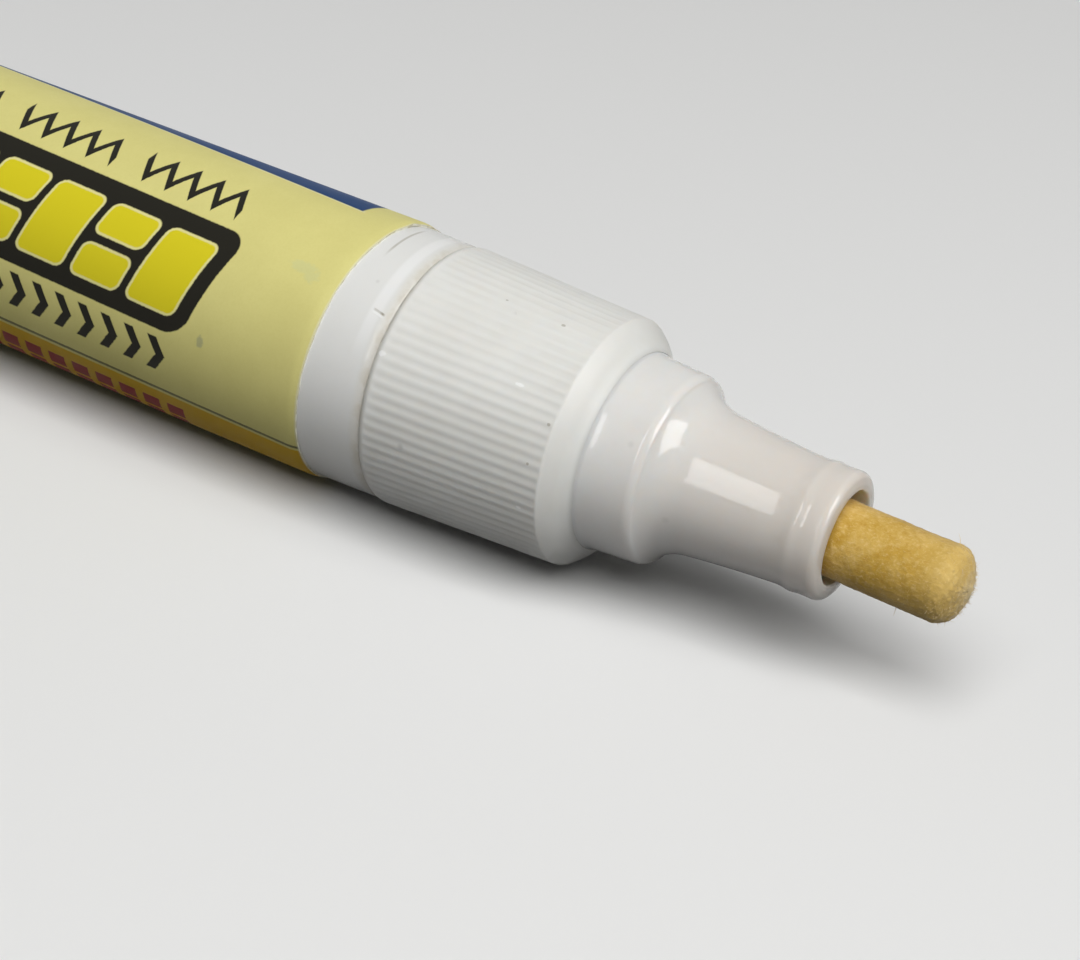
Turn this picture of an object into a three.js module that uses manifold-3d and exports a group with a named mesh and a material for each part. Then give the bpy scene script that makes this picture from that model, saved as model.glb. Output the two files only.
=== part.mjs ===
// A pump-action paint marker for tile grout, lying on its side with its posted cap behind it.
// Millimetres. +X points along the axis towards the nib and +Z is up. Stations are measured along
// the axis from the front edge of the label, and the whole marker is centred on the origin in X.
import * as THREE from "three";
import { mergeVertices } from "three/addons/utils/BufferGeometryUtils.js";
import Module from "manifold-3d";

const wasm = await Module();
wasm.setup();

// Faces round the turned pieces. Radii are across the flats, so a flat lies on the table.
const SIDES = 40;
const SMALL_SIDES = 28;

// Clearances
const SLIDE_FIT = 0.06; // radial, between a piece and the bore that guides it
const PRESS_FIT = 0.03; // radial, where one piece is pushed into another for good
const SEAT_GAP = 0.05; // axial, between faces that rest on each other
const LABEL_GLUE = 0.02; // between the label and the barrel
const THREAD_PLAY = 0.1; // radial, between a thread's crest and the root over it
const CUT_PAST = 1; // how far a cutting shape runs past the piece that it cuts

// Steps along a round edge
const FINE_STEPS = 4;
const PLAIN_STEPS = 3;
const COARSE_STEPS = 2;

// Label
const LABEL_OUTER_R = 8.0;
const LABEL_THICK = 0.14;
const LABEL_LENGTH = 82;
const BARE_TAIL = 4; // bare barrel behind the label

// Barrel
const BARREL_WALL = 1.1;
const BAND_LENGTH = 3.85; // bare band in front of the label
const BAND_STEP = 0.1; // the band starts this much below the barrel under the label
const BAND_TAPER = 0.12; // and loses this much radius towards its rounded edge
const BAND_ROUND = 0.9; // length of the rounded edge
const BAND_DROP = 0.4; // and its depth
const SHOULDER_WALL = 1.3;
const SHOULDER_SLOPE = 1.5; // length of the cone inside the shoulder
const NECK_WALL = 1.0;
const NECK_LENGTH = 8.75;
const EDGE_BEVEL = 0.3;

// Screw thread between the neck and the collar
const THREAD_PITCH = 1.6;
const THREAD_TURNS = 3;
const THREAD_HEIGHT = 0.45;
const THREAD_ROOT_WIDTH = 0.6;
const THREAD_CREST_WIDTH = 0.36;
const THREAD_INSET = 1.8; // from the shoulder to the thread's first turn
const THREAD_RUNOUT = 0.25; // turns over which the thread starts and dies out
const THREAD_STEPS = 18; // steps in one turn
const THREAD_SINK = 0.2; // how far the ridge's foot reaches into its wall

// Collar
const COLLAR_GAP = 0.12; // groove between the band and the collar
const COLLAR_STEP = 0.06; // the collar stands this far above the band
const COLLAR_TAPER = 0.49; // and loses this much radius towards its front
const COLLAR_WALL = 0.86; // over the thread, at the front
const COLLAR_REAR_ROUND = 0.45;
const COLLAR_REAR_DROP = 0.25;
const COLLAR_NOSE = 1.3; // length of the bevelled nose
const COLLAR_NOSE_EDGE = 0.13; // flat left between the bevel and the bore
const COLLAR_CREASE = 0.5; // share of the bevel behind its faint crease
const COLLAR_CREASE_RISE = 0.04; // how far the crease stands out of the straight bevel
const LIP_THICK = 1.45; // from the flange's seat to the front of the nose
const RIB_COUNT = 74;
const RIB_DEPTH = 0.13;
const RIB_FADE = 0.5; // the ribs die out over this length at each end

// Nozzle
const FLANGE_THICK = 1.0;
const FLANGE_PLAY = 0.13; // radial, between the flange and the collar's bore
const FLANGE_STEP = 0.5; // how far the flange stands out behind the collar's lip
const SEAT_TAPER = 0.2; // radius lost along the wide part that the cap grips
const SEAT_LENGTH = 4.2; // from the lip's inner face
const SHOULDER_ROUND = 0.66; // length of the round edge of the shoulder
const SHOULDER_DROP = 0.37; // and its depth
const SHOULDER_END = 5; // degrees, where the round edge meets the hollow
const SHOULDER_LENGTH = 2.95; // from the seat to the cone
const HOLLOW_LEAD = 0.78; // the hollow's two tangents meet this far in front of the round edge
const HOLLOW_RISE = 0.12; // and this far above the cone
const CONE_REAR_R = 4.1;
const CONE_WAIST = 0.08; // the cone's tangents meet this far inside its straight line
const CONE_FRONT_R = 3.66;
const CONE_LENGTH = 5.25;
const BEAD_HEIGHT = 0.075; // low ring round the tip
const BEAD_LENGTH = 1.5;
const BEAD_FLANK = 0.6;
const TIP_LENGTH = 2.7; // from the cone to the mouth
const TIP_SWELL = 0.05; // the tip is this much wider than the cone's end
const TIP_ROUND = 0.5; // length of the tip's round front edge
const TIP_DROP = 0.41; // and its depth
const TIP_ROUND_END = 15; // degrees, where the round edge meets the front face
const TIP_FACE_RISE = 0.06; // the mouth's edge stands this far in front of the round edge
const MOUTH_R = 2.72;
const MOUTH_DEPTH = 2.0; // from the mouth to the guide ribs
const NOZZLE_WALL = 1.15; // wall of the wide part
const CHAMBER_SLOPE = 2.8;
const GUIDE_RIBS = 6;
const GUIDE_RIB_THICK = 0.5;
const GUIDE_RIB_LENGTH = 6.0;
const GUIDE_RIB_SINK = 0.3; // how far a guide rib reaches into the nozzle's wall

// Nib
const NIB_R = 2.24;
const NIB_PROUD = 7.5; // how far the nib stands out of the nozzle
const NIB_ROUND = 1.3; // length of its worn edge
const NIB_ROUND_DEPTH = 1.1;
const NIB_DOME = 0.35; // rise of the worn front face
const NIB_ROUND_END = 15; // degrees, where the edge's round meets the worn face
const NIB_BEVEL = 0.3;
const NIB_PLAY = 0.1; // between the nib and the stem's tip

// Valve
const GASKET_THICK = 0.6;
const GASKET_LAP = 0.21; // how far the gasket reaches into the nozzle's chamber
const VALVE_FLANGE_THICK = 0.8;
const VALVE_FLANGE_INSET = 0.08; // the flange stays this far inside the neck's outside
const VALVE_WALL = 1.2;
const VALVE_FRONT_WALL = 1.6;
const VALVE_LENGTH = 14.2;
const VALVE_PORT_R = 1.5;
const SEAL_THICK = 0.8;
const PAINT_PASSAGE = 0.74; // radial, round the seal
const STEM_R = 1.15;
const STEM_PROUD = 2.35; // how far the stem's tip stands in front of the valve body
const STEM_HEAD_INSET = 0.3; // the seal stands this far over the stem's head
const STEM_HEAD_THICK = 0.9;
const STEM_TAIL_R = 0.95;
const STEM_TAIL_LENGTH = 7.4;
const STEM_BEVEL = 0.25;
const RETAINER_FLANGE = 0.6;
const RETAINER_PLUG = 1.4;
const RETAINER_LAP = 0.6; // how far the flange reaches over the end of the valve body
const FEED_SLOTS = 3;
const FEED_SLOT_WIDTH = 1.1;
const FEED_SLOT_HUB = 0.69; // plastic left inside a feed slot
const FEED_SLOT_RIM = 0.61; // and outside it

// Valve spring
const WIRE_R = 0.25;
const SPRING_PLAY = 0.65; // between the stem's tail and the wire
const COILS = 7;
const COIL_STEPS = 8;
const WIRE_SIDES = 5;

// Mixing ball
const BALL_R = 3.0;
const BALL_FROM_TAIL = 26; // rest place, from the rear end of the barrel
const BALL_RINGS = 12;

// Tail plug
const TAIL_FLANGE = 2.0;
const TAIL_FLANGE_ROUND = 0.9;
const TAIL_SKIRT = 6.0;
const TAIL_SKIRT_WALL = 1.1;
const SPIGOT_LENGTH = 8.0;
const SPIGOT_WALL = 1.15;
const SPIGOT_BEVEL = 0.5;
const TAIL_FLOOR = 1.5;

// Cap
const CAP_LENGTH = 28.5;
const CAP_END_WALL = 1.6;
const CAP_END_ROUND = 1.3;
const CAP_MOUTH_ROUND = 0.4;
const CAP_SEAT_CLEAR = 1.6; // from the end of the tail's spigot to the step in the bore
const CAP_BORE_STEP = 0.79; // the bore narrows by this much at the step
const CAP_MOUTH_GAP = 0.3; // between the cap's mouth and the tail's flange
const LINER_WALL = 1.05;
const LINER_FLOOR = 0.8;
const LINER_SET_BACK = 0.55; // from the step in the bore to the liner's front edge

// Radii that follow from the driving ones
const barrelR = LABEL_OUTER_R - LABEL_THICK - LABEL_GLUE;
const boreR = barrelR - BARREL_WALL;
const bandR = barrelR - BAND_STEP;
const collarRearR = bandR + COLLAR_STEP;
const collarFrontR = collarRearR - COLLAR_TAPER;
const collarBoreR = collarFrontR - COLLAR_WALL;
const threadCrestR = collarBoreR - THREAD_PLAY;
const neckR = threadCrestR - THREAD_HEIGHT;
const neckBoreR = neckR - NECK_WALL;
const flangeR = collarBoreR - FLANGE_PLAY;
const lipBoreR = flangeR - FLANGE_STEP;
const seatR = lipBoreR - SLIDE_FIT; // the cap grips the nozzle and the tail's spigot here
const seatFrontR = seatR - SEAT_TAPER;
const chamberR = seatFrontR - NOZZLE_WALL;
const guideR = NIB_R + SLIDE_FIT;
const gasketBoreR = chamberR - GASKET_LAP;
const valveFlangeR = neckR - VALVE_FLANGE_INSET;
const valveR = neckBoreR - SLIDE_FIT;
const valveBoreR = valveR - VALVE_WALL;
const sealR = valveBoreR - PAINT_PASSAGE;
const stemHeadR = sealR - STEM_HEAD_INSET;
const coilR = STEM_TAIL_R + SPRING_PLAY + WIRE_R; // to the middle of the wire
const capR = collarFrontR;
const capBoreR = seatR + SLIDE_FIT;
const linerSeatR = capBoreR - CAP_BORE_STEP;
const linerR = linerSeatR - PRESS_FIT;

// Stations along the axis, from the label's front edge
const barrelRear = -(LABEL_LENGTH + BARE_TAIL);
const shoulder = BAND_LENGTH;
const neckMouth = shoulder + NECK_LENGTH;
const valveFlangeRear = neckMouth + SEAT_GAP;
const valveFront = valveFlangeRear + VALVE_FLANGE_THICK;
const gasketRear = valveFront + SEAT_GAP;
const nozzleRear = gasketRear + GASKET_THICK + SEAT_GAP;
const lipRear = nozzleRear + FLANGE_THICK + SEAT_GAP;
const collarRear = shoulder + COLLAR_GAP;
const collarFront = lipRear + LIP_THICK;
const seatFront = lipRear + SEAT_LENGTH;
const coneRear = seatFront + SHOULDER_LENGTH;
const coneFront = coneRear + CONE_LENGTH;
const nozzleFront = coneFront + TIP_LENGTH;
const nibFront = nozzleFront + NIB_PROUD;
const valveRear = valveFront - VALVE_LENGTH;
const valveSeat = valveFront - VALVE_FRONT_WALL;
const sealFront = valveSeat - SEAT_GAP;
const stemHeadFront = sealFront - SEAL_THICK - SEAT_GAP;
const stemHeadRear = stemHeadFront - STEM_HEAD_THICK;
const stemTip = valveFront + STEM_PROUD;
const nibRear = stemTip + NIB_PLAY;
const retainerFront = valveRear + RETAINER_PLUG;
const springLength = stemHeadRear - retainerFront - SEAT_GAP * 2;
const tailRear = barrelRear - SEAT_GAP - TAIL_FLANGE - SPIGOT_LENGTH;
const capMouth = barrelRear - SEAT_GAP - TAIL_FLANGE - CAP_MOUTH_GAP;
const capEnd = capMouth - CAP_LENGTH;
const capSeatEnd = tailRear - CAP_SEAT_CLEAR;
const middle = (nibFront + capEnd) / 2;

// Points of a profile, each [station, radius], along an arc about a centre. Angles are in degrees
// from +X towards a growing radius.
function arc(x, r, radiusX, radiusR, from, to, steps) {
  const points = [];
  for (let i = 0; i <= steps; i++) {
    const a = THREE.MathUtils.degToRad(from + ((to - from) * i) / steps);
    points.push([x + radiusX * Math.cos(a), r + radiusR * Math.sin(a)]);
  }
  return points;
}

// Points of a profile along a quadratic curve that leaves one point and reaches another in the
// directions of a third. The first point is left out.
function curve(from, towards, to, steps) {
  const bend = new THREE.QuadraticBezierCurve(
    new THREE.Vector2(...from),
    new THREE.Vector2(...towards),
    new THREE.Vector2(...to),
  );
  return bend.getPoints(steps).slice(1).map((p) => [p.x, p.y]);
}

// A body turned about the X axis from a profile that starts and ends on the axis, or closes on
// itself. Its flats, not its corners, lie at the radii of the profile.
function turned(profile, sides = SIDES) {
  const area = profile.reduce((sum, [x, r], i) => {
    const [nextX, nextR] = profile[(i + 1) % profile.length];
    return sum + x * nextR - nextX * r;
  }, 0);
  const outward = area > 0 ? [...profile].reverse() : [...profile];
  const onAxis = outward.some(([, r]) => r === 0);
  while (onAxis && !(outward[0][1] === 0 && outward[outward.length - 1][1] === 0)) {
    outward.push(outward.shift());
  }
  if (!onAxis) outward.push(outward[0]);
  const corner = 1 / Math.cos(Math.PI / sides);
  const points = outward.map(([x, r]) => new THREE.Vector2(r * corner, x));
  const lathe = new THREE.LatheGeometry(points, sides, Math.PI / sides);
  return lathe.rotateZ(-Math.PI / 2);
}

// A geometry as a solid that can be joined and cut.
function solid(geometry) {
  const bare = geometry.clone();
  bare.deleteAttribute("normal");
  bare.deleteAttribute("uv");
  const merged = mergeVertices(bare, 1e-4);
  const index = merged.index.array;
  const faces = [];
  for (let i = 0; i < index.length; i += 3) {
    const [a, b, c] = [index[i], index[i + 1], index[i + 2]];
    if (a !== b && b !== c && c !== a) faces.push(a, b, c);
  }
  const mesh = new wasm.Mesh({
    numProp: 3,
    vertProperties: new Float32Array(merged.attributes.position.array),
    triVerts: new Uint32Array(faces),
  });
  return new wasm.Manifold(mesh);
}

// A joined or cut solid as a geometry.
function geometryOf(made) {
  const mesh = made.getMesh();
  const geometry = new THREE.BufferGeometry();
  geometry.setAttribute("position", new THREE.BufferAttribute(mesh.vertProperties, 3));
  geometry.setIndex(new THREE.BufferAttribute(mesh.triVerts, 1));
  geometry.computeVertexNormals();
  return geometry;
}

// A closed tube of rings with the same number of points each, with a fan over each end.
function skinned(rings) {
  const around = rings[0].length;
  const positions = rings.flat().flatMap((p) => [p.x, p.y, p.z]);
  const index = [];
  for (let i = 0; i + 1 < rings.length; i++) {
    for (let j = 0; j < around; j++) {
      const a = i * around + j;
      const b = i * around + ((j + 1) % around);
      index.push(a, b, a + around, b, b + around, a + around);
    }
  }
  const last = (rings.length - 1) * around;
  for (let j = 1; j + 1 < around; j++) {
    index.push(0, j + 1, j);
    index.push(last, last + j, last + j + 1);
  }
  const geometry = new THREE.BufferGeometry();
  geometry.setAttribute("position", new THREE.Float32BufferAttribute(positions, 3));
  geometry.setIndex(index);
  geometry.computeVertexNormals();
  return geometry;
}

// A right-handed screw ridge about the X axis. Its foot lies at footR and its crest at crestR, and
// it runs out to nothing at both ends. On a ridge that points inwards the
// middles of its steps, not their corners, lie at those radii.
function threadRidge(start, footR, crestR, sinkR) {
  const rings = [];
  const steps = THREAD_TURNS * THREAD_STEPS;
  const corner = crestR > footR ? 1 : 1 / Math.cos(Math.PI / THREAD_STEPS);
  for (let i = 0; i <= steps; i++) {
    const turn = i / THREAD_STEPS;
    const fade = Math.min(1, turn / THREAD_RUNOUT, (THREAD_TURNS - turn) / THREAD_RUNOUT);
    const crest = footR + (crestR - footR) * fade;
    const x = start + THREAD_PITCH * turn;
    const section = [
      [x - THREAD_ROOT_WIDTH / 2, sinkR],
      [x - THREAD_ROOT_WIDTH / 2, footR],
      [x - THREAD_CREST_WIDTH / 2, crest],
      [x + THREAD_CREST_WIDTH / 2, crest],
      [x + THREAD_ROOT_WIDTH / 2, footR],
      [x + THREAD_ROOT_WIDTH / 2, sinkR],
    ];
    const angle = 2 * Math.PI * turn;
    const ring = section.map(
      ([s, r]) => new THREE.Vector3(s, r * corner * Math.cos(angle), r * corner * Math.sin(angle)),
    );
    rings.push(crestR > footR ? ring.reverse() : ring);
  }
  return skinned(rings);
}

// Barrel: a tube open at the tail, with a bare band and a threaded neck in front.
function barrel() {
  const bandFrontR = bandR - BAND_TAPER;
  const body = turned([
    [barrelRear, boreR],
    [barrelRear, barrelR - EDGE_BEVEL],
    [barrelRear + EDGE_BEVEL, barrelR],
    [0, barrelR],
    [BAND_STEP, bandR],
    ...arc(shoulder - BAND_ROUND, bandFrontR - BAND_DROP, BAND_ROUND, BAND_DROP, 90, 0, PLAIN_STEPS),
    [shoulder, neckR],
    [neckMouth - EDGE_BEVEL, neckR],
    [neckMouth, neckR - EDGE_BEVEL],
    [neckMouth, neckBoreR],
    [shoulder - SHOULDER_WALL, neckBoreR],
    [shoulder - SHOULDER_WALL - SHOULDER_SLOPE, boreR],
  ]);
  const footR = neckR - THREAD_SINK / 2;
  const ridge = threadRidge(shoulder + THREAD_INSET, footR, threadCrestR, footR - THREAD_SINK);
  return geometryOf(solid(body).add(solid(ridge)));
}

// Label: a thin printed sleeve round the barrel.
function label() {
  return turned([
    [-LABEL_LENGTH, barrelR + LABEL_GLUE],
    [-LABEL_LENGTH, LABEL_OUTER_R],
    [0, LABEL_OUTER_R],
    [0, barrelR + LABEL_GLUE],
  ]);
}

// Tail plug: it closes the barrel, and its spigot carries the cap while the marker is in use.
function tailPlug() {
  const flangeFront = barrelRear - SEAT_GAP;
  const flangeRear = flangeFront - TAIL_FLANGE;
  const round = TAIL_FLANGE_ROUND;
  const skirtR = boreR - PRESS_FIT;
  const spigotBoreR = seatR - SPIGOT_WALL;
  return turned([
    [tailRear, 0],
    [tailRear, seatR - SPIGOT_BEVEL],
    [tailRear + SPIGOT_BEVEL, seatR],
    [flangeRear, seatR],
    ...arc(flangeRear + round, barrelR - round, round, round, 180, 90, PLAIN_STEPS),
    [flangeFront, barrelR],
    [flangeFront, skirtR],
    [flangeFront + TAIL_SKIRT, skirtR],
    [flangeFront + TAIL_SKIRT, skirtR - TAIL_SKIRT_WALL],
    [flangeFront, skirtR - TAIL_SKIRT_WALL],
    [flangeFront, spigotBoreR],
    [tailRear + TAIL_FLOOR, spigotBoreR],
    [tailRear + TAIL_FLOOR, 0],
  ]);
}

// Collar: a ribbed screw ring that clamps the nozzle on the neck. Every second side of the turned
// blank is drawn in to make the ribs.
function collar() {
  const sides = RIB_COUNT * 2;
  const ribRear = collarRear + COLLAR_REAR_ROUND;
  const ribFront = collarFront - COLLAR_NOSE;
  const slope = COLLAR_TAPER / (ribFront - collarRear);
  const outerR = (x) => collarRearR - slope * (x - collarRear);
  const round = COLLAR_REAR_ROUND;
  const drop = COLLAR_REAR_DROP;
  const noseEdgeR = lipBoreR + COLLAR_NOSE_EDGE;
  const creaseX = ribFront + COLLAR_NOSE * COLLAR_CREASE;
  const creaseR = collarFrontR + (noseEdgeR - collarFrontR) * COLLAR_CREASE + COLLAR_CREASE_RISE;
  const blank = turned(
    [
      [collarRear, 0],
      ...arc(ribRear, outerR(ribRear) - drop, round, drop, 180, 90, COARSE_STEPS),
      [ribRear + RIB_FADE, outerR(ribRear + RIB_FADE)],
      [ribFront - RIB_FADE, outerR(ribFront - RIB_FADE)],
      [ribFront, collarFrontR],
      [creaseX, creaseR],
      [collarFront, noseEdgeR],
      [collarFront, 0],
    ],
    sides,
  );
  const at = blank.attributes.position;
  for (let i = 0; i < at.count; i++) {
    const x = at.getX(i);
    const angle = Math.atan2(at.getZ(i), at.getY(i));
    const side = Math.round((angle / (2 * Math.PI)) * sides - 0.5);
    const ribbed = x > ribRear + RIB_FADE / 2 && x < ribFront - RIB_FADE / 2;
    if (ribbed && side % 2 === 0) {
      const r = Math.hypot(at.getY(i), at.getZ(i));
      const drawn = (r - RIB_DEPTH) / r;
      at.setXYZ(i, x, at.getY(i) * drawn, at.getZ(i) * drawn);
    }
  }
  const bore = turned([
    [collarRear - CUT_PAST, 0],
    [collarRear - CUT_PAST, collarBoreR],
    [lipRear, collarBoreR],
    [lipRear, lipBoreR],
    [collarFront + CUT_PAST, lipBoreR],
    [collarFront + CUT_PAST, 0],
  ]);
  const footR = collarBoreR + THREAD_SINK / 2;
  const start = shoulder + THREAD_INSET + THREAD_PITCH / 2;
  const ridge = threadRidge(start, footR, collarBoreR - THREAD_HEIGHT, footR + THREAD_SINK);
  return geometryOf(solid(blank).subtract(solid(bore)).add(solid(ridge)));
}

// Nozzle: flange, wide seat for the cap, shoulder that hollows into the cone, and a tip with a low
// bead, with ribs in its bore that guide the nib.
function nozzle() {
  const shoulderR = seatFrontR - SHOULDER_DROP;
  const shoulder = arc(seatFront, shoulderR, SHOULDER_ROUND, SHOULDER_DROP, 90, SHOULDER_END, PLAIN_STEPS);
  const shoulderFoot = shoulder[shoulder.length - 1];
  const hollow = [seatFront + SHOULDER_ROUND + HOLLOW_LEAD, CONE_REAR_R + HOLLOW_RISE];
  const coneStart = [coneRear, CONE_REAR_R];
  const coneEnd = [coneFront, CONE_FRONT_R];
  const waist = [(coneRear + coneFront) / 2, (CONE_REAR_R + CONE_FRONT_R) / 2 - CONE_WAIST];
  const beadR = CONE_FRONT_R + BEAD_HEIGHT;
  const tipR = CONE_FRONT_R + TIP_SWELL;
  const tipRoundX = nozzleFront - TIP_FACE_RISE - TIP_ROUND;
  const shell = turned([
    [nozzleRear, chamberR],
    [nozzleRear, flangeR],
    [nozzleRear + FLANGE_THICK, flangeR],
    [nozzleRear + FLANGE_THICK, seatR],
    [collarFront, seatR],
    ...shoulder,
    ...curve(shoulderFoot, hollow, coneStart, FINE_STEPS),
    ...curve(coneStart, waist, coneEnd, COARSE_STEPS),
    [coneFront + BEAD_FLANK, beadR],
    [coneFront + BEAD_LENGTH - BEAD_FLANK, beadR],
    [coneFront + BEAD_LENGTH, CONE_FRONT_R],
    ...arc(tipRoundX, tipR - TIP_DROP, TIP_ROUND, TIP_DROP, 90, TIP_ROUND_END, PLAIN_STEPS),
    [nozzleFront, MOUTH_R],
    [seatFront + CHAMBER_SLOPE, MOUTH_R],
    [seatFront, chamberR],
  ]);
  const guideFront = nozzleFront - MOUTH_DEPTH;
  const guideMiddle = guideFront - GUIDE_RIB_LENGTH / 2;
  const guideOuter = MOUTH_R + GUIDE_RIB_SINK;
  let made = solid(shell);
  for (let i = 0; i < GUIDE_RIBS; i++) {
    const rib = new THREE.BoxGeometry(GUIDE_RIB_LENGTH, GUIDE_RIB_THICK, guideOuter - guideR);
    rib.translate(guideMiddle, 0, (guideOuter + guideR) / 2);
    rib.rotateX((2 * Math.PI * (i + 0.5)) / GUIDE_RIBS);
    made = made.add(solid(rib));
  }
  return geometryOf(made);
}

// Nib: a felt rod with a worn, rounded front.
function nib() {
  const edge = nibFront - NIB_DOME - NIB_ROUND;
  return turned(
    [
      [nibRear, 0],
      [nibRear, NIB_R - NIB_BEVEL],
      [nibRear + NIB_BEVEL, NIB_R],
      ...arc(edge, NIB_R - NIB_ROUND_DEPTH, NIB_ROUND, NIB_ROUND_DEPTH, 90, NIB_ROUND_END, FINE_STEPS),
      [nibFront, 0],
    ],
    SMALL_SIDES,
  );
}

// Gasket: a flat ring between the nozzle's flange and the valve body.
function gasket() {
  const front = gasketRear + GASKET_THICK;
  return turned(
    [
      [gasketRear, gasketBoreR],
      [gasketRear, valveFlangeR],
      [front, valveFlangeR],
      [front, gasketBoreR],
    ],
    SMALL_SIDES,
  );
}

// Valve body: a cup that hangs in the neck from its flange, with the valve port in front.
function valveBody() {
  return turned(
    [
      [valveRear, valveBoreR],
      [valveRear, valveR],
      [valveFlangeRear, valveR],
      [valveFlangeRear, valveFlangeR],
      [valveFront, valveFlangeR],
      [valveFront, VALVE_PORT_R],
      [valveSeat, VALVE_PORT_R],
      [valveSeat, valveBoreR],
    ],
    SMALL_SIDES,
  );
}

// Valve seal: a rubber washer in front of the stem's head.
function valveSeal() {
  return turned(
    [
      [sealFront - SEAL_THICK, STEM_R + PRESS_FIT],
      [sealFront - SEAL_THICK, sealR],
      [sealFront, sealR],
      [sealFront, STEM_R + PRESS_FIT],
    ],
    SMALL_SIDES,
  );
}

// Valve stem: the nib pushes its tip, and the spring pushes its head back to the seat.
function valveStem() {
  return turned(
    [
      [stemHeadRear - STEM_TAIL_LENGTH, 0],
      [stemHeadRear - STEM_TAIL_LENGTH, STEM_TAIL_R - STEM_BEVEL],
      [stemHeadRear - STEM_TAIL_LENGTH + STEM_BEVEL, STEM_TAIL_R],
      [stemHeadRear, STEM_TAIL_R],
      [stemHeadRear, stemHeadR],
      [stemHeadFront, stemHeadR],
      [stemHeadFront, STEM_R],
      [stemTip - STEM_BEVEL, STEM_R],
      [stemTip, STEM_R - STEM_BEVEL],
      [stemTip, 0],
    ],
    SMALL_SIDES,
  );
}

// Spring retainer: a slotted plug that closes the valve body and carries the spring.
function springRetainer() {
  const rear = valveRear - SEAT_GAP - RETAINER_FLANGE;
  const plugR = valveBoreR - PRESS_FIT;
  const boreR = STEM_TAIL_R + SLIDE_FIT;
  const plug = turned(
    [
      [rear, boreR],
      [rear, valveBoreR + RETAINER_LAP],
      [valveRear - SEAT_GAP, valveBoreR + RETAINER_LAP],
      [valveRear - SEAT_GAP, plugR],
      [retainerFront, plugR],
      [retainerFront, boreR],
    ],
    SMALL_SIDES,
  );
  const slotInner = boreR + FEED_SLOT_HUB;
  const slotOuter = plugR - FEED_SLOT_RIM;
  const slotLength = retainerFront - rear + 2 * CUT_PAST;
  let made = solid(plug);
  for (let i = 0; i < FEED_SLOTS; i++) {
    const slot = new THREE.BoxGeometry(slotLength, FEED_SLOT_WIDTH, slotOuter - slotInner);
    slot.translate((rear + retainerFront) / 2, 0, (slotInner + slotOuter) / 2);
    slot.rotateX((2 * Math.PI * i) / FEED_SLOTS);
    made = made.subtract(solid(slot));
  }
  return geometryOf(made);
}

// Valve spring: one wire that runs straight for its own thickness, winds round the stem's tail and
// runs straight again.
function valveSpring() {
  const straight = WIRE_R * 2;
  const wound = springLength - 2 * straight;
  const pitch = wound / COILS;
  const start = retainerFront + SEAT_GAP + straight;
  const along = new THREE.Vector3(1, 0, 0);
  const steps = COILS * COIL_STEPS;
  const centres = [];
  const rings = [];
  for (let i = -1; i <= steps + 1; i++) {
    const turn = Math.min(Math.max(i, 0), steps) / COIL_STEPS;
    const end = i < 0 || i > steps;
    const angle = 2 * Math.PI * turn;
    const out = new THREE.Vector3(0, Math.cos(angle), Math.sin(angle));
    const round = new THREE.Vector3(0, -Math.sin(angle), Math.cos(angle));
    const bend = i === 0 || i === steps;
    const lead = bend ? coilR * 2 : pitch / (2 * Math.PI);
    const tangent = round.multiplyScalar(coilR).addScaledVector(along, lead).normalize();
    if (end) tangent.copy(along);
    const side = new THREE.Vector3().crossVectors(tangent, out);
    const x = start + pitch * turn + (i < 0 ? -straight : 0) + (i > steps ? straight : 0);
    const centre = new THREE.Vector3(x, 0, 0).addScaledVector(out, coilR);
    const ring = [];
    for (let j = 0; j < WIRE_SIDES; j++) {
      const a = (2 * Math.PI * j) / WIRE_SIDES;
      const point = centre.clone().addScaledVector(out, WIRE_R * Math.cos(a));
      ring.push(point.addScaledVector(side, WIRE_R * Math.sin(a)));
    }
    centres.push(centre);
    rings.push(ring);
  }
  let least = Infinity;
  for (let i = 0; i < centres.length; i++) {
    for (let j = i + COIL_STEPS - 2; j < centres.length; j++) {
      least = Math.min(least, centres[i].distanceTo(centres[j]) - 2 * WIRE_R);
    }
  }
  console.log("valve_spring: least gap to itself " + least.toFixed(2) + " mm");
  return skinned(rings);
}

// Mixing ball: it lies at the bottom of the bore.
function mixingBall() {
  const ball = new THREE.SphereGeometry(BALL_R, BALL_RINGS * 2, BALL_RINGS);
  return geometryOf(solid(ball));
}

// Cap: a thimble whose mouth grips the nozzle's seat, or the tail's spigot.
function cap() {
  const floor = capEnd + CAP_END_WALL;
  const mouth = CAP_MOUTH_ROUND;
  return turned([
    [capEnd, 0],
    ...arc(capEnd + CAP_END_ROUND, capR - CAP_END_ROUND, CAP_END_ROUND, CAP_END_ROUND, 180, 90, FINE_STEPS),
    ...arc(capMouth - mouth, capR - mouth, mouth, mouth, 90, 0, COARSE_STEPS),
    [capMouth, capBoreR],
    [capSeatEnd, capBoreR],
    [capSeatEnd, linerSeatR],
    [floor, linerSeatR],
    [floor, 0],
  ]);
}

// Cap liner: a soft cup that seals round the nozzle's rim when the cap is on.
function capLiner() {
  const rear = capEnd + CAP_END_WALL + SEAT_GAP;
  const front = capSeatEnd - LINER_SET_BACK;
  return turned([
    [rear, 0],
    [rear, linerR],
    [front, linerR],
    [front, linerR - LINER_WALL],
    [rear + LINER_FLOOR, linerR - LINER_WALL],
    [rear + LINER_FLOOR, 0],
  ]);
}

const white = { color: 0xe9e8e4, roughness: 0.38, metalness: 0 };
const pearl = { color: 0xe4ddd6, roughness: 0.22, metalness: 0 };
const printed = { color: 0xd9d27c, roughness: 0.42, metalness: 0 };
const felt = { color: 0xc49a45, roughness: 0.95, metalness: 0 };
const natural = { color: 0xd8d8d2, roughness: 0.45, metalness: 0 };
const rubber = { color: 0x26262a, roughness: 0.8, metalness: 0 };
const steel = { color: 0xb4b6ba, roughness: 0.25, metalness: 1 };

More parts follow.
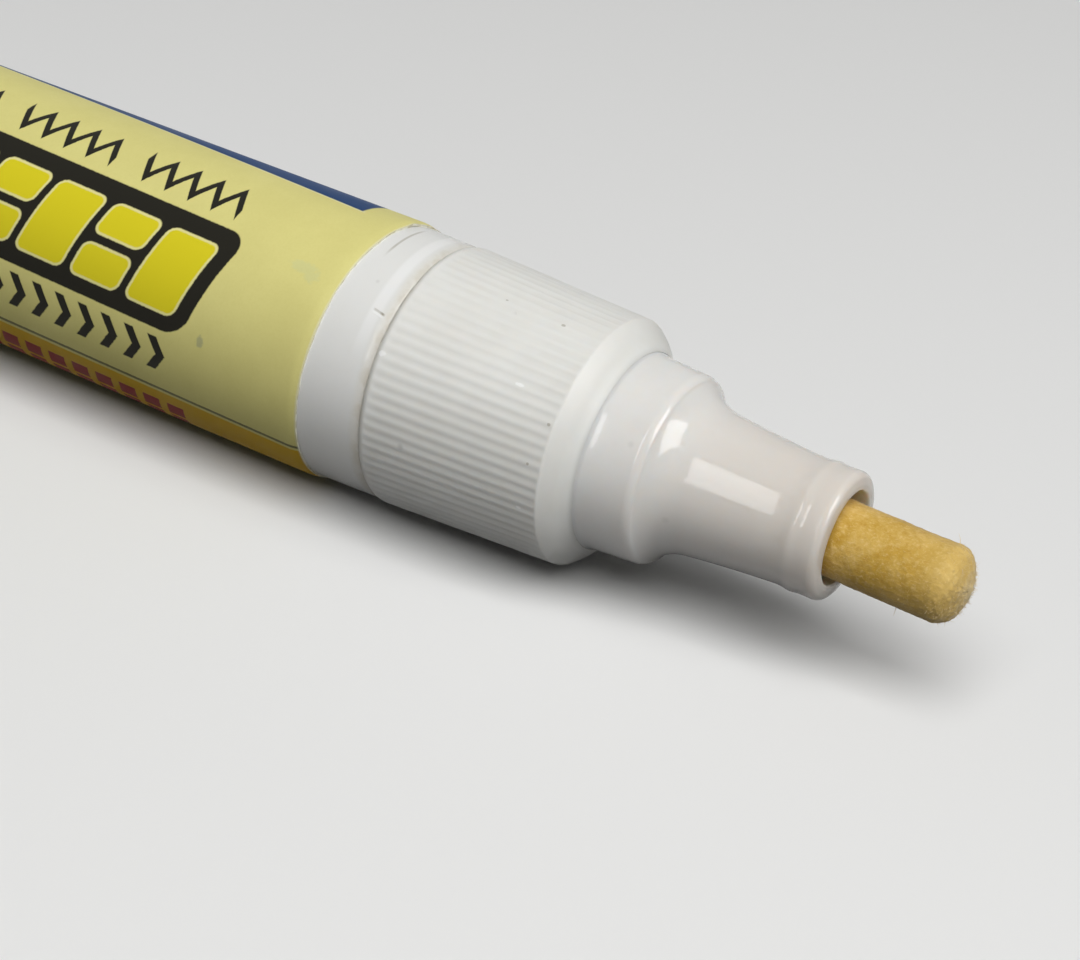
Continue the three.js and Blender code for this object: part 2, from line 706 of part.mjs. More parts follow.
function piece(name, geometry, finish) {
  const mesh = new THREE.Mesh(geometry, new THREE.MeshStandardMaterial(finish));
  mesh.name = name;
  return mesh;
}

const body = new THREE.Group();
body.add(piece("barrel", barrel(), white));
body.add(piece("label", label(), printed));
body.add(piece("tail_plug", tailPlug(), white));

const ball = piece("mixing_ball", mixingBall(), steel);
ball.position.set(barrelRear + BALL_FROM_TAIL, 0, BALL_R + SLIDE_FIT - boreR);
body.add(ball);

const valve = new THREE.Group();
valve.add(piece("valve_body", valveBody(), natural));
valve.add(piece("valve_stem", valveStem(), natural));
valve.add(piece("valve_seal", valveSeal(), rubber));
valve.add(piece("valve_spring", valveSpring(), steel));
valve.add(piece("spring_retainer", springRetainer(), natural));
valve.add(piece("head_gasket", gasket(), rubber));

const head = new THREE.Group();
head.add(valve);
head.add(piece("nozzle", nozzle(), pearl));
head.add(piece("nib", nib(), felt));
head.add(piece("collar", collar(), white));

const postedCap = new THREE.Group();
postedCap.add(piece("cap", cap(), white));
postedCap.add(piece("cap_liner", capLiner(), natural));

const marker = new THREE.Group();
marker.add(body, head, postedCap);
marker.position.set(-middle, 0, LABEL_OUTER_R);

export default new THREE.Group().add(marker);
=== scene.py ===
"""Looks of a pump-action grout marker that lies on its side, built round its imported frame.

Places on the marker are given as a station and a turn. A station runs along the axis towards the nib,
in millimetres from the front of the label. A turn runs round the axis, in degrees from the top
towards the front (-Y).
"""
import math

import bpy
import numpy as np
from mathutils import Matrix, Vector


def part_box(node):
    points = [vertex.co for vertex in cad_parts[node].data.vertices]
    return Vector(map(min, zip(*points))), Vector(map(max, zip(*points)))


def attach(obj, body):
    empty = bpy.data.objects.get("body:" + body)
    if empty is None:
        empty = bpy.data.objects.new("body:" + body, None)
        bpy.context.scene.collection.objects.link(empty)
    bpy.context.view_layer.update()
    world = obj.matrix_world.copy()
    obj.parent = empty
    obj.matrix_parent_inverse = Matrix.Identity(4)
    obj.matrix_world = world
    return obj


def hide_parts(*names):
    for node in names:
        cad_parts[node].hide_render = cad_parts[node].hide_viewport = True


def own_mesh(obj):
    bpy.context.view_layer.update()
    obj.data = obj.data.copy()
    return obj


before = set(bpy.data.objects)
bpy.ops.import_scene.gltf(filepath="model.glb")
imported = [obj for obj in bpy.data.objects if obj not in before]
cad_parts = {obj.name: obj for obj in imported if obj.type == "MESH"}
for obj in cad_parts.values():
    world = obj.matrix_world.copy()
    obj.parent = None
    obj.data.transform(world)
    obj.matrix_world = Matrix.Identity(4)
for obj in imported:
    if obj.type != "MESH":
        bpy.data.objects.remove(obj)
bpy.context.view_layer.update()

MM = 0.001
LABEL_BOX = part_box("label")
ZERO_X = LABEL_BOX[1].x
AXIS_Z = (LABEL_BOX[0].z + LABEL_BOX[1].z) / 2


def station_of(x):
    return (x - ZERO_X) / MM


def front_of(node):
    return station_of(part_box(node)[1].x)


def rear_of(node):
    return station_of(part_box(node)[0].x)


def radius_of(node):
    return (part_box(node)[1].z - AXIS_Z) / MM


# Sizes that the looks add to the frame's, in millimetres
LABEL_R = radius_of("label")
LABEL_LENGTH = -rear_of("label")
FILM = 0.14
SHEET = 0.14
BARREL_R = LABEL_R - FILM - 0.02
BORE_R = BARREL_R - 1.1
BAND_R = BARREL_R - 0.1
SHOULDER = front_of("barrel") - 8.75
NECK_R = 5.9
THREAD_HEIGHT = 0.45
THREAD_PITCH = 1.6
THREAD_TURNS = 3.0
THREAD_START = SHOULDER + 1.8
THREAD_ROOT = 0.6
THREAD_FLANK = 0.12
COLLAR_BORE_R = NECK_R + THREAD_HEIGHT + 0.1
COLLAR_REAR = SHOULDER + 0.01
COLLAR_FRONT = front_of("collar")
COLLAR_REAR_R = BAND_R + 0.06
COLLAR_FRONT_R = COLLAR_REAR_R - 0.49
COLLAR_NOSE = COLLAR_FRONT - 1.3
LIP = COLLAR_FRONT - 1.45
LIP_BORE_R = COLLAR_BORE_R - 0.63
RIBS = 74
RIB_DEPTH = 0.026
NOZZLE_FRONT = front_of("nozzle")
SEAT_R = LIP_BORE_R - 0.06
SEAT_END = LIP + 4.2
CONE_REAR = SEAT_END + 2.95
CONE_FRONT = NOZZLE_FRONT - 2.7
MOUTH_R = 2.72
NIB_R = radius_of("nib")
NIB_FRONT = front_of("nib")
NIB_FREE = NIB_FRONT - 9.4

# A radius below this lies on the axis
TOUCHING = 1e-6

# Node, body, inner and outer radius
RUBBER_RINGS = [("valve_seal", "valve_stem", 1.18, 2.9), ("head_gasket", "head", 4.2, 5.82)]

# Skew of the label on the barrel, and where its front edge would cross turn 0
LABEL_SKEW = math.radians(2.05)
LABEL_FRONT = 0.275


def along(values):
    return np.asarray(values, float)


def on_marker(stations, radii, turns):
    """Points at a station, a radius and a turn: x = station, y = -r sin(turn), z = axis + r cos(turn)."""
    angle = np.radians(turns)
    x = ZERO_X + stations * MM
    y = -radii * MM * np.sin(angle)
    z = AXIS_Z + radii * MM * np.cos(angle)
    return np.stack(np.broadcast_arrays(x, y, z), -1)


def unit(vectors):
    return vectors / np.linalg.norm(vectors, axis=-1, keepdims=True)


def arc(station, radius, length, height, start, end, steps=8):
    """Profile points on a quarter ellipse: (station + length cos a, radius + height sin a)."""
    a = np.radians(np.linspace(start, end, steps + 1))
    return np.stack([station + length * np.cos(a), radius + height * np.sin(a)], 1)


def outline(*pieces):
    """Joins profile points and arcs into one list of (station, radius)."""
    return np.concatenate([np.atleast_2d(along(p)) for p in pieces])


def curve(start, towards, end, steps=8):
    """Profile points on a quadratic curve: (1-t)^2 start + 2t(1-t) towards + t^2 end."""
    t = np.linspace(0, 1, steps + 1)[:, None]
    return (1 - t) ** 2 * along(start) + 2 * t * (1 - t) * along(towards) + t ** 2 * along(end)


def refined(profile, longest):
    """Puts points on each straight stretch of a profile, so that no step is longer than longest."""
    profile = along(profile)
    out = [profile[:1]]
    for a, b in zip(profile[:-1], profile[1:]):
        steps = max(1, math.ceil(np.hypot(*(b - a)) / longest))
        share = np.linspace(0, 1, steps + 1)[1:, None]
        out.append(a + (b - a) * share)
    return np.concatenate(out)


def mesh_piece(name, points, faces, body, sharp=40, node=None):
    """A mesh object of these points and faces, riding on a body, smooth but for edges over sharp degrees.

    It stands for the CAD node that node names, if any.
    """
    mesh = bpy.data.meshes.new(name)
    mesh.from_pydata(points.tolist(), [], faces)
    mesh.polygons.foreach_set("use_smooth", np.ones(len(mesh.polygons), bool))
    mesh.set_sharp_from_angle(angle=math.radians(sharp))
    mesh.update()
    piece = bpy.data.objects.new(name, mesh)
    bpy.context.scene.collection.objects.link(piece)
    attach(piece, body)
    if node:
        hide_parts(node)
    return piece


def grid_faces(rows, columns, round_rows):
    """Quads over a grid whose columns close on themselves, and whose rows do so if round_rows."""
    i = np.arange(rows if round_rows else rows - 1)[:, None]
    j = np.arange(columns)[None, :]
    below = (i + 1) % rows
    right = (j + 1) % columns
    quads = [i * columns + j, i * columns + right, below * columns + right, below * columns + j]
    return np.stack(np.broadcast_arrays(*quads), -1).reshape(-1, 4).tolist()


def close_ends(points, faces, ends, rows, columns):
    """Closes a grid by a point on the axis at each end, with a fan of triangles to the next row."""
    first, last = len(points), len(points) + 1
    points = np.concatenate([points, on_marker(ends, np.zeros(2), np.zeros(2))])
    j = np.arange(columns)
    right = (j + 1) % columns
    tail = (rows - 1) * columns
    fans = [(np.full(columns, first), right, j), (np.full(columns, last), tail + j, tail + right)]
    return points, faces + np.concatenate([np.stack(f, 1) for f in fans]).tolist()


def turned_surface(profile, columns, shape=None):
    """Points and faces of a profile turned about the axis: a grid of station and radius against turn.

    shape(station, radius, turn) gives the radius anew, for what isn't round. A profile that touches
    the axis at both ends is closed there by one point each; any other closes on itself.
    """
    profile = along(profile)
    after = np.roll(profile, -1, 0)
    area = np.sum(profile[:, 0] * after[:, 1] - after[:, 0] * profile[:, 1])
    if area > 0:
        profile = profile[::-1]
    poles = profile[0, 1] < TOUCHING and profile[-1, 1] < TOUCHING
    if poles:
        ends = profile[[0, -1], 0]
        profile = profile[1:-1]
    turns = np.linspace(0, 360, columns, endpoint=False)[None, :]
    stations = np.repeat(profile[:, :1], columns, 1)
    radii = np.repeat(profile[:, 1:], columns, 1)
    if shape:
        radii = shape(stations, radii, turns)
    points = on_marker(stations, radii, turns).reshape(-1, 3)
    faces = grid_faces(len(profile), columns, not poles)
    if poles:
        points, faces = close_ends(points, faces, ends, len(profile), columns)
    return points, faces


def turned(name, profile, body, columns=128, shape=None, sharp=40, node=None):
    """One turned piece that stands for the CAD node of its name, or for the one that node names."""
    points, faces = turned_surface(profile, columns, shape)
    return mesh_piece(name, points, faces, body, sharp, node or name)


def smoothstep(value, low, high):
    t = np.clip((value - low) / (high - low), 0, 1)
    return t * t * (3 - 2 * t)


def lumps(shape, size, seed):
    """Seeded noise of unit spread on a grid, blurred over size cells by a Gaussian on its spectrum."""
    rough = np.random.default_rng(seed).standard_normal(shape)
    down, across = [np.fft.fftfreq(count) * cells for count, cells in zip(shape, size)]
    ripple = np.hypot(down[:, None], across[None, :])
    soft = np.real(np.fft.ifft2(np.fft.fft2(rough) * np.exp(-2 * (math.pi * ripple / 2) ** 2)))
    return soft / soft.std()


def thread_rise(station, turn, start):
    """Height of a right-handed thread that starts at the back: a trapezoid across the pitch.

    It is highest where the station is start + pitch * (turns wound), and runs out over its first and
    last quarter turns.
    """
    part = (turn + 90) / 360 % 1
    run = (station - start) / THREAD_PITCH
    wound = np.clip(np.round(run - part) + part, 0, THREAD_TURNS)
    fade = np.clip(4 * np.minimum(wound, THREAD_TURNS - wound), 0, 1)
    flank = (THREAD_ROOT / 2 - np.abs(run - wound) * THREAD_PITCH) / THREAD_FLANK
    return THREAD_HEIGHT * np.clip(flank, 0, 1) * fade


def build_barrel():
    """Tube with a bare band and a threaded neck. Only the outside of the neck carries the thread."""
    rear = rear_of("barrel")
    mouth = front_of("barrel")

    def shape(station, radius, turn):
        threaded = (radius > NECK_R - 0.01) & (station > THREAD_START - 0.7) & (station < mouth - 0.4)
        return radius + np.where(threaded, thread_rise(station, turn, THREAD_START), 0)

    neck = refined([(SHOULDER + 0.15, NECK_R), (mouth - 0.3, NECK_R)], 0.06)[1:]
    band = [(-1.2, BAND_R + 0.05), (1.0, BAND_R + 0.02), (SHOULDER - 0.8, BAND_R - 0.03)]
    profile = outline(
        (rear, BORE_R),
        arc(rear + 0.3, BARREL_R - 0.3, 0.3, 0.3, 180, 90, 4),
        (-1.6, BARREL_R),
        (-1.3, BAND_R + 0.05),
        refined(band, 0.5),
        arc(SHOULDER - 0.75, BAND_R - 0.30, 0.75, 0.27, 84, 0, 14),
        (SHOULDER, NECK_R + 0.15),
        arc(SHOULDER + 0.15, NECK_R + 0.15, 0.15, 0.15, 180, 270, 3),
        neck,
        arc(mouth - 0.3, NECK_R - 0.3, 0.3, 0.3, 90, 0, 4),
        (mouth, NECK_R - 1.0),
        (SHOULDER - 1.3, NECK_R - 1.0),
        (SHOULDER - 2.8, BORE_R),
    )
    return turned("barrel_shell", profile, "barrel", 160, shape, node="barrel")


def label_front(turn):
    """Station of the label's skewed front edge at a turn."""
    return LABEL_FRONT - math.tan(LABEL_SKEW) * np.radians(turn) * LABEL_R


def build_label():
    """A thick sheet wrapped once round the barrel: station and radius against turn, with its ends lapped.

    Its rows run forward over the outside and back over the inside. The wrap starts and ends at the
    lower back. Its last few degrees climb over its first ones, both rims are pressed on the barrel,
    and a corner of the front edge near the top stands a little off it.
    """
    seam, lap, climb = -118.0, 5.0, 0.09
    columns = 361
    turn = np.linspace(seam, seam + 360 + lap, columns)[None, :]
    rear = rear_of("label")
    front = label_front(turn)
    from_front = np.concatenate([np.linspace(0, 0.9, 10), np.geomspace(1.2, LABEL_LENGTH - 1.2, 34)])
    from_rear = np.linspace(0.9, 0, 7)
    share = np.concatenate([from_rear[::-1] / LABEL_LENGTH, 1 - from_front[::-1] / LABEL_LENGTH])[:, None]
    rows = len(share)
    ragged = 0.015 * lumps((1, columns), (1, 5), 3)
    station = rear + (front - rear) * share + ragged * smoothstep(share, 0.99, 1.0)
    lapped = smoothstep(turn, seam + 360 - 6, seam + 360) * climb
    ahead, behind = front - station, station - rear
    lifted = 0.07 * np.exp(-(((turn + 15) / 3.5) ** 2)) * np.exp(-((ahead / 0.8) ** 2))
    pressed = 0.10 * np.exp(-((ahead / 0.35) ** 2)) * (1 + 0.08 * lumps((1, columns), (1, 24), 8))
    pressed = pressed + 0.05 * np.exp(-((behind / 0.35) ** 2))
    radius = LABEL_R - 0.02 + lapped + lifted - pressed
    stations = np.concatenate([station, station[::-1]])
    radii = np.concatenate([radius, radius[::-1] - SHEET])
    points = on_marker(stations, radii, turn).reshape(-1, 3)
    i = np.arange(2 * rows)[:, None]
    j = np.arange(columns - 1)[None, :]
    here, after = i * columns + j, (i + 1) % (2 * rows) * columns + j
    around = np.stack([here, here + 1, after + 1, after], -1)
    outside = np.arange(rows - 1)
    inside = 2 * rows - 1 - outside
    ends = np.stack([outside, outside + 1, inside - 1, inside], -1) * columns
    faces = np.concatenate([around.reshape(-1, 4), ends, ends[:, ::-1] + columns - 1])
    sheet = mesh_piece("label_sheet", points, faces.tolist(), "barrel", 50, "label")
    rims = np.zeros(around.shape[:2], int)
    rims[[rows - 1, 2 * rows - 1]] = 1
    cut = np.concatenate([rims.ravel(), np.ones(2 * len(ends), int)])
    dress(sheet, printed, film_core)
    sheet.data.polygons.foreach_set("material_index", cut)


def build_collar():
    """Screw ring: a tapered outside with ribs as a cosine round it, and a bevelled nose.

    The ribs die out before the round rear edge and before the nose.
    """
    rear_round, rear_drop = 0.42, 0.24
    corner = 0.26
    slope = (COLLAR_REAR_R - COLLAR_FRONT_R) / (COLLAR_NOSE - COLLAR_REAR)
    side_rear = (COLLAR_REAR + rear_round, COLLAR_REAR_R - slope * rear_round)
    start, end = COLLAR_REAR + 0.25, COLLAR_NOSE - 0.05
    thread_start = THREAD_START + THREAD_PITCH / 2

    def shape(station, radius, turn):
        outside = (radius > COLLAR_FRONT_R - 0.2) & (station < COLLAR_NOSE)
        fade = smoothstep(station, start, start + 0.4) * (1 - smoothstep(station, end - 0.35, end))
        ribs = 0.5 - 0.5 * np.cos(np.radians(turn) * RIBS)
        bored = np.abs(radius - COLLAR_BORE_R) < 0.01
        inward = np.where(bored, thread_rise(station, turn, thread_start), 0)
        return radius - np.where(outside, RIB_DEPTH * ribs * fade, inward)

    side = refined([side_rear, (COLLAR_NOSE - corner, COLLAR_FRONT_R)], 0.3)
    bevel_rear = (COLLAR_NOSE + 0.06, COLLAR_FRONT_R - 0.19)
    bevel = (COLLAR_NOSE + 0.36, COLLAR_FRONT_R - 0.42)
    crease = (COLLAR_NOSE + 0.62, COLLAR_FRONT_R - 0.72)
    hollow = (COLLAR_NOSE + 0.86, COLLAR_FRONT_R - 1.06)
    nose_end = (COLLAR_FRONT - 0.02, LIP_BORE_R + 0.04)
    reach = [thread_start + THREAD_PITCH * THREAD_TURNS + THREAD_ROOT, thread_start - THREAD_ROOT]
    threaded = refined([(s, COLLAR_BORE_R) for s in reach], 0.1)
    profile = outline(
        arc(side_rear[0], side_rear[1] - rear_drop, rear_round, rear_drop, 180, 90, 8),
        side[1:-1],
        arc(COLLAR_NOSE - corner, COLLAR_FRONT_R - corner, corner, corner, 90, 48, 7),
        curve(bevel_rear, bevel, crease, 6),
        curve(crease, hollow, nose_end, 6)[1:],
        arc(COLLAR_FRONT - 0.03, LIP_BORE_R + 0.03, 0.03, 0.03, 10, -90, 3),
        (LIP, LIP_BORE_R),
        (LIP, COLLAR_BORE_R),
        threaded,
        (COLLAR_REAR, COLLAR_BORE_R),
    )
    return turned("collar_ring", profile, "collar", RIBS * 10, shape, node="collar")


def build_nozzle():
    """Flange, seat, shoulder that hollows into the cone, and tip with a low bead, turned as one.

    Six guide ribs are raised in its bore.
    """
    rear = rear_of("nozzle")
    flange_r = COLLAR_BORE_R - 0.13
    seat_front_r = SEAT_R - 0.2
    chamber_r = seat_front_r - 1.15
    chamber_end = SEAT_END + 2.8
    cone_rear_r, cone_front_r = 4.10, 3.66
    guide_front = NOZZLE_FRONT - 2.0
    guide_rear = guide_front - 6.0
    guide_depth = MOUTH_R - NIB_R - 0.06

    def shape(station, radius, turn):
        bored = (radius < MOUTH_R + 0.01) & (station < guide_front + 0.3) & (station > guide_rear - 0.3)
        nearest = np.abs((turn / 60 - 0.5) % 1 - 0.5) * 60
        rib = 1 - smoothstep(nearest, 4.0, 6.5)
        rise = smoothstep(station, guide_rear - 0.3, guide_rear)
        fall = 1 - smoothstep(station, guide_front - 2.3, guide_front + 0.3)
        return radius - np.where(bored, guide_depth * rib * rise * fall, 0)

    under_lip = LIP_BORE_R - 0.004
    seat_rear = np.add((COLLAR_FRONT, SEAT_R), [(0.1, 0.01), (0.3, -0.04), (0.8, -0.07)])
    shoulder = arc(SEAT_END, seat_front_r - 0.37, 0.66, 0.37, 84, 8, 12)
    cone = (CONE_REAR, cone_rear_r)
    cone_end = (CONE_FRONT, cone_front_r)
    bead = CONE_FRONT + np.linspace(0.1, 1.7, 17)
    swell = 0.075 * np.exp(-(((bead - CONE_FRONT - 0.85) / 0.36) ** 2)) + 0.02 * (bead - CONE_FRONT)
    profile = outline(
        (rear, chamber_r),
        (rear, flange_r - 0.1),
        arc(rear + 0.1, flange_r - 0.1, 0.1, 0.1, 180, 90, 3),
        (rear + 1.0, flange_r),
        (rear + 1.0, SEAT_R),
        (LIP + 0.1, under_lip),
        (COLLAR_FRONT + 0.04, under_lip),
        curve(*seat_rear, 5),
        refined([(COLLAR_FRONT + 1.1, SEAT_R - 0.09), (SEAT_END, seat_front_r)], 0.3),
        shoulder,
        curve(shoulder[-1], (SEAT_END + 1.44, cone_rear_r + 0.12), cone, 18)[1:],
        curve(cone, ((CONE_REAR + CONE_FRONT) / 2, 3.80), cone_end, 10)[1:],
        np.stack([bead, cone_front_r + swell], 1),
        arc(NOZZLE_FRONT - 0.56, cone_front_r - 0.36, 0.50, 0.41, 86, 12, 12),
        curve((NOZZLE_FRONT - 0.04, 3.24), (NOZZLE_FRONT, 3.1), (NOZZLE_FRONT, 3.0), 3),
        arc(NOZZLE_FRONT - 0.14, MOUTH_R + 0.14, 0.14, 0.14, 20, -90, 6),
        refined([(NOZZLE_FRONT - 0.3, MOUTH_R), (chamber_end, MOUTH_R)], 0.3),
        (SEAT_END, chamber_r),
    )
    return turned("nozzle_shell", profile, "head", 200, shape, node="nozzle")


def nib_profile():
    """Station and radius of the nib's worn outline from the rear to the tip."""
    edge = NIB_FRONT - 1.68
    face = [(NIB_FRONT - 0.46, 1.52), (NIB_FRONT - 0.14, 0.85), (NIB_FRONT - 0.06, 0.05)]
    return outline(
        (rear_of("nib"), 0),
        (rear_of("nib"), NIB_R - 0.3),
        (rear_of("nib") + 0.3, NIB_R - 0.01),
        refined([(NIB_FRONT - 10.4, NIB_R - 0.01), (edge - 0.06, NIB_R - 0.01)], 0.07),
        arc(edge, NIB_R - 1.11, 1.30, 1.10, 90, 22, 24),
        refined(curve(*face, 4), 0.07)[1:],
        (NIB_FRONT - 0.06, 0),
    )


def nib_lean(points):
    """Bends the nib's free end down and to the front, as it is worn and pushed aside in its guide."""
    station = station_of(points[..., 0])
    reach = np.clip(station - NIB_FREE, 0, None)
    offset = 0.26 * (1 - np.exp(-reach / 3.0))
    way = np.radians(147)
    shift = np.stack([np.zeros_like(offset), -offset * np.sin(way), offset * np.cos(way)], -1)
    return points + shift * MM


def build_nib():
    """Felt rod: its worn outline turned about the axis, each point moved along the normal by noise."""
    columns = 240
    profile = nib_profile()
    ends, profile = profile[[0, -1]], profile[1:-1]
    slope = np.gradient(profile, axis=0)
    normal = unit(np.stack([-slope[:, 1], slope[:, 0]], 1))
    size = (len(profile), columns)
    felted = 0.006 * lumps(size, (3, 4), 11) + 0.004 * lumps(size, (2, 2.2), 12)
    felted = felted + 0.012 * lumps(size, (18, 30), 13)
    worn = smoothstep(profile[:, :1], NIB_FRONT - 1.9, NIB_FRONT - 1.1)
    off_axis = smoothstep(profile[:, 1:], 0.03, 0.7)
    shown = smoothstep(profile[:, :1], NIB_FREE, NIB_FREE + 1.0) * off_axis
    moved = (felted * (1 + 0.9 * worn) - 0.02) * shown
    turns = np.linspace(0, 360, columns, endpoint=False)[None, :]
    stations = profile[:, :1] + normal[:, :1] * moved
    radii = profile[:, 1:] + normal[:, 1:] * moved
    points = on_marker(stations, radii, turns).reshape(-1, 3)
    faces = grid_faces(*size, False)
    points, faces = close_ends(points, faces, ends[:, 0], *size)
    return mesh_piece("nib_felt", nib_lean(points), faces, "nib", 80, "nib")


def build_fibres():
    """Short loose fibres on the nib: thin three-sided hairs, each a quadratic bend from its foot.

    Hair point = foot + out * t + lean * t squared, for t from 0 to 1 along its length.
    """
    draw = np.random.default_rng(21)
    count = 900
    profile = nib_profile()[3:-1]
    reach = np.concatenate([[0], np.cumsum(np.linalg.norm(np.diff(profile, axis=0), axis=1))])
    edge = draw.random(count) < 0.66
    on_edge = reach[-1] - 3.1 + 2.5 * draw.random(count) ** 0.8
    at = np.where(edge, on_edge, reach[-1] - 9.0 + 6.3 * draw.random(count))
    turn = 360 * draw.random(count)
    length = np.where(edge, 0.07 + 0.15 * draw.random(count) ** 2, 0.03 + 0.05 * draw.random(count) ** 2)
    thick = np.full(count, 0.010)
    stray = [(2.95, -33.0, 0.55), (1.75, 22.0, 0.55), (2.4, 118.0, 0.30), (4.9, 150.0, 0.25)]
    for i, (before, angle, reaching) in enumerate(stray):
        at[i], turn[i], length[i], thick[i] = reach[-1] - before, angle, reaching, 0.022
    station = np.interp(at, reach, profile[:, 0])
    radius = np.interp(at, reach, profile[:, 1]) - 0.04
    slope = np.interp(at, reach, np.arctan2(np.gradient(profile[:, 0]), -np.gradient(profile[:, 1])))
    on_axis = np.zeros(count)
    radial = unit(on_marker(on_axis, np.ones(count), turn) - on_marker(on_axis, on_axis, turn))
    out = radial * np.sin(slope)[:, None] + np.array([1.0, 0, 0]) * np.cos(slope)[:, None]
    out = unit(out + 0.40 * draw.standard_normal((count, 3)))
    lean = 0.7 * draw.standard_normal((count, 3))
    side = unit(np.cross(out, lean))
    third = np.cross(out, side)
    foot = nib_lean(on_marker(station, radius, turn))
    t = np.linspace(0, 1, 4)[None, :, None]
    path = foot[:, None] + (out[:, None] * t + lean[:, None] * t ** 2 * 0.5) * length[:, None, None] * MM
    angle = np.radians([90, 210, 330])[None, None, :, None]
    ring = side[:, None, None] * np.cos(angle) + third[:, None, None] * np.sin(angle)
    around = ring * (thick[:, None, None] * MM * (1 - 0.75 * t))[..., None]
    points = (path[:, :, None] + around).reshape(-1, 3)
    first = 12 * np.arange(count)[:, None, None]
    sides = np.array(grid_faces(4, 3, False)) + first
    ends = np.array([[0, 2, 1], [9, 10, 11]]) + first
    faces = sides.reshape(-1, 4).tolist() + ends.reshape(-1, 3).tolist()
    return mesh_piece("nib_fibres", points, faces, "nib", 60)


def build_tail_plug():
    """Flange that closes the barrel, with a skirt in its bore and the spigot that carries the cap."""
    rear = rear_of("tail_plug")
    front = front_of("tail_plug")
    flange_front = rear_of("barrel") - 0.05
    flange_rear = flange_front - 2.0
    skirt_r = BORE_R - 0.03
    profile = outline(
        (rear, 0),
        (rear, 5.26),
        arc(rear + 0.5, 5.26, 0.5, 0.5, 180, 90, 6),
        (flange_rear, 5.76),
        (flange_rear, BARREL_R - 0.9),
        arc(flange_rear + 0.9, BARREL_R - 0.9, 0.9, 0.9, 180, 90, 8),
        arc(flange_front - 0.1, BARREL_R - 0.1, 0.1, 0.1, 90, 0, 3),
        (flange_front, skirt_r),
        (front, skirt_r),
        (front, skirt_r - 1.1),
        (flange_front, skirt_r - 1.1),
        (flange_front, 4.61),
        (rear + 1.5, 4.61),
        (rear + 1.5, 0),
    )
    return turned("tail_plug_shell", profile, "barrel", 128, node="tail_plug")


def build_cap():
    """Thimble with a flat round end that carries the dimple of its moulding point."""
    rear = rear_of("cap")
    mouth = front_of("cap")
    cap_r, bore_r = radius_of("cap"), 5.82
    seat_end = rear_of("tail_plug") - 1.6
    profile = outline(
        (rear + 0.25, 0),
        (rear + 0.25, 0.55),
        arc(rear + 0.25, 1.15, 0.25, 0.45, 270, 180, 5),
        arc(rear + 1.3, cap_r - 1.3, 1.3, 1.3, 180, 90, 12),
        (rear + 9, cap_r - 0.02),
        arc(mouth - 0.4, cap_r - 0.4, 0.4, 0.4, 90, 0, 6),
        (mouth, bore_r + 0.25),
        arc(mouth - 0.25, bore_r + 0.25, 0.25, 0.25, 0, -90, 4),
        (seat_end, bore_r),
        (seat_end, 5.03),
        (rear + 1.6, 5.03),
        (rear + 1.6, 0),
    )
    return turned("cap_shell", profile, "cap", 144, node="cap")


def build_cap_liner():
    rear = rear_of("cap_liner")
    front = front_of("cap_liner")
    profile = outline(
        (rear, 0),
        (rear, 4.6),
        arc(rear + 0.4, 4.6, 0.4, 0.4, 180, 90, 4),
        (front - 0.3, 5.0),
        arc(front - 0.3, 4.475, 0.3, 0.525, 90, -90, 10),
        (rear + 0.8, 3.95),
        (rear + 0.8, 0),
    )
    return turned("cap_liner_cup", profile, "cap", 96, node="cap_liner")


def build_valve():
    """The turned pieces of the pump valve, which hang in the neck behind the nozzle."""
    body_rear, flange_front = rear_of("valve_body"), front_of("valve_body")
    body = outline(
        (body_rear, 3.64),
        (body_rear, 4.64),
        arc(body_rear + 0.2, 4.64, 0.2, 0.2, 180, 90, 3),
        (flange_front - 0.8, 4.84),
        (flange_front - 0.8, 5.82),
        (flange_front, 5.82),
        (flange_front, 1.65),
        arc(flange_front - 0.15, 1.65, 0.15, 0.15, 0, -90, 3),
        (flange_front - 1.6, 1.5),
        (flange_front - 1.6, 3.64),
    )
    dress(turned("valve_cup", body, "head", 80, node="valve_body"), natural)
    stem_rear, stem_front = rear_of("valve_stem"), front_of("valve_stem")
    head_front = rear_of("valve_seal") - 0.05
    stem = outline(
        (stem_rear, 0),
        arc(stem_rear + 0.25, 0.7, 0.25, 0.25, 180, 90, 4),
        (head_front - 0.9, 0.95),
        arc(head_front - 0.75, 2.45, 0.15, 0.15, 180, 90, 3),
        arc(head_front - 0.15, 2.45, 0.15, 0.15, 90, 0, 3),
        (head_front, 1.15),
        arc(stem_front - 0.25, 0.9, 0.25, 0.25, 90, 0, 4),
        (stem_front, 0),
    )
    dress(turned("valve_plunger", stem, "valve_stem", 64, node="valve_stem"), natural)
    for node, rides_on, inner, outer in RUBBER_RINGS:
        rear, front = rear_of(node), front_of(node)
        edge = 0.12
        ring = outline(
            arc(rear + edge, inner + edge, edge, edge, 270, 180, 4),
            arc(rear + edge, outer - edge, edge, edge, 180, 90, 4),
            arc(front - edge, outer - edge, edge, edge, 90, 0, 4),
            arc(front - edge, inner + edge, edge, edge, 0, -90, 4),
        )
        dress(turned(node + "_ring", ring, rides_on, 72, node=node), rubber)


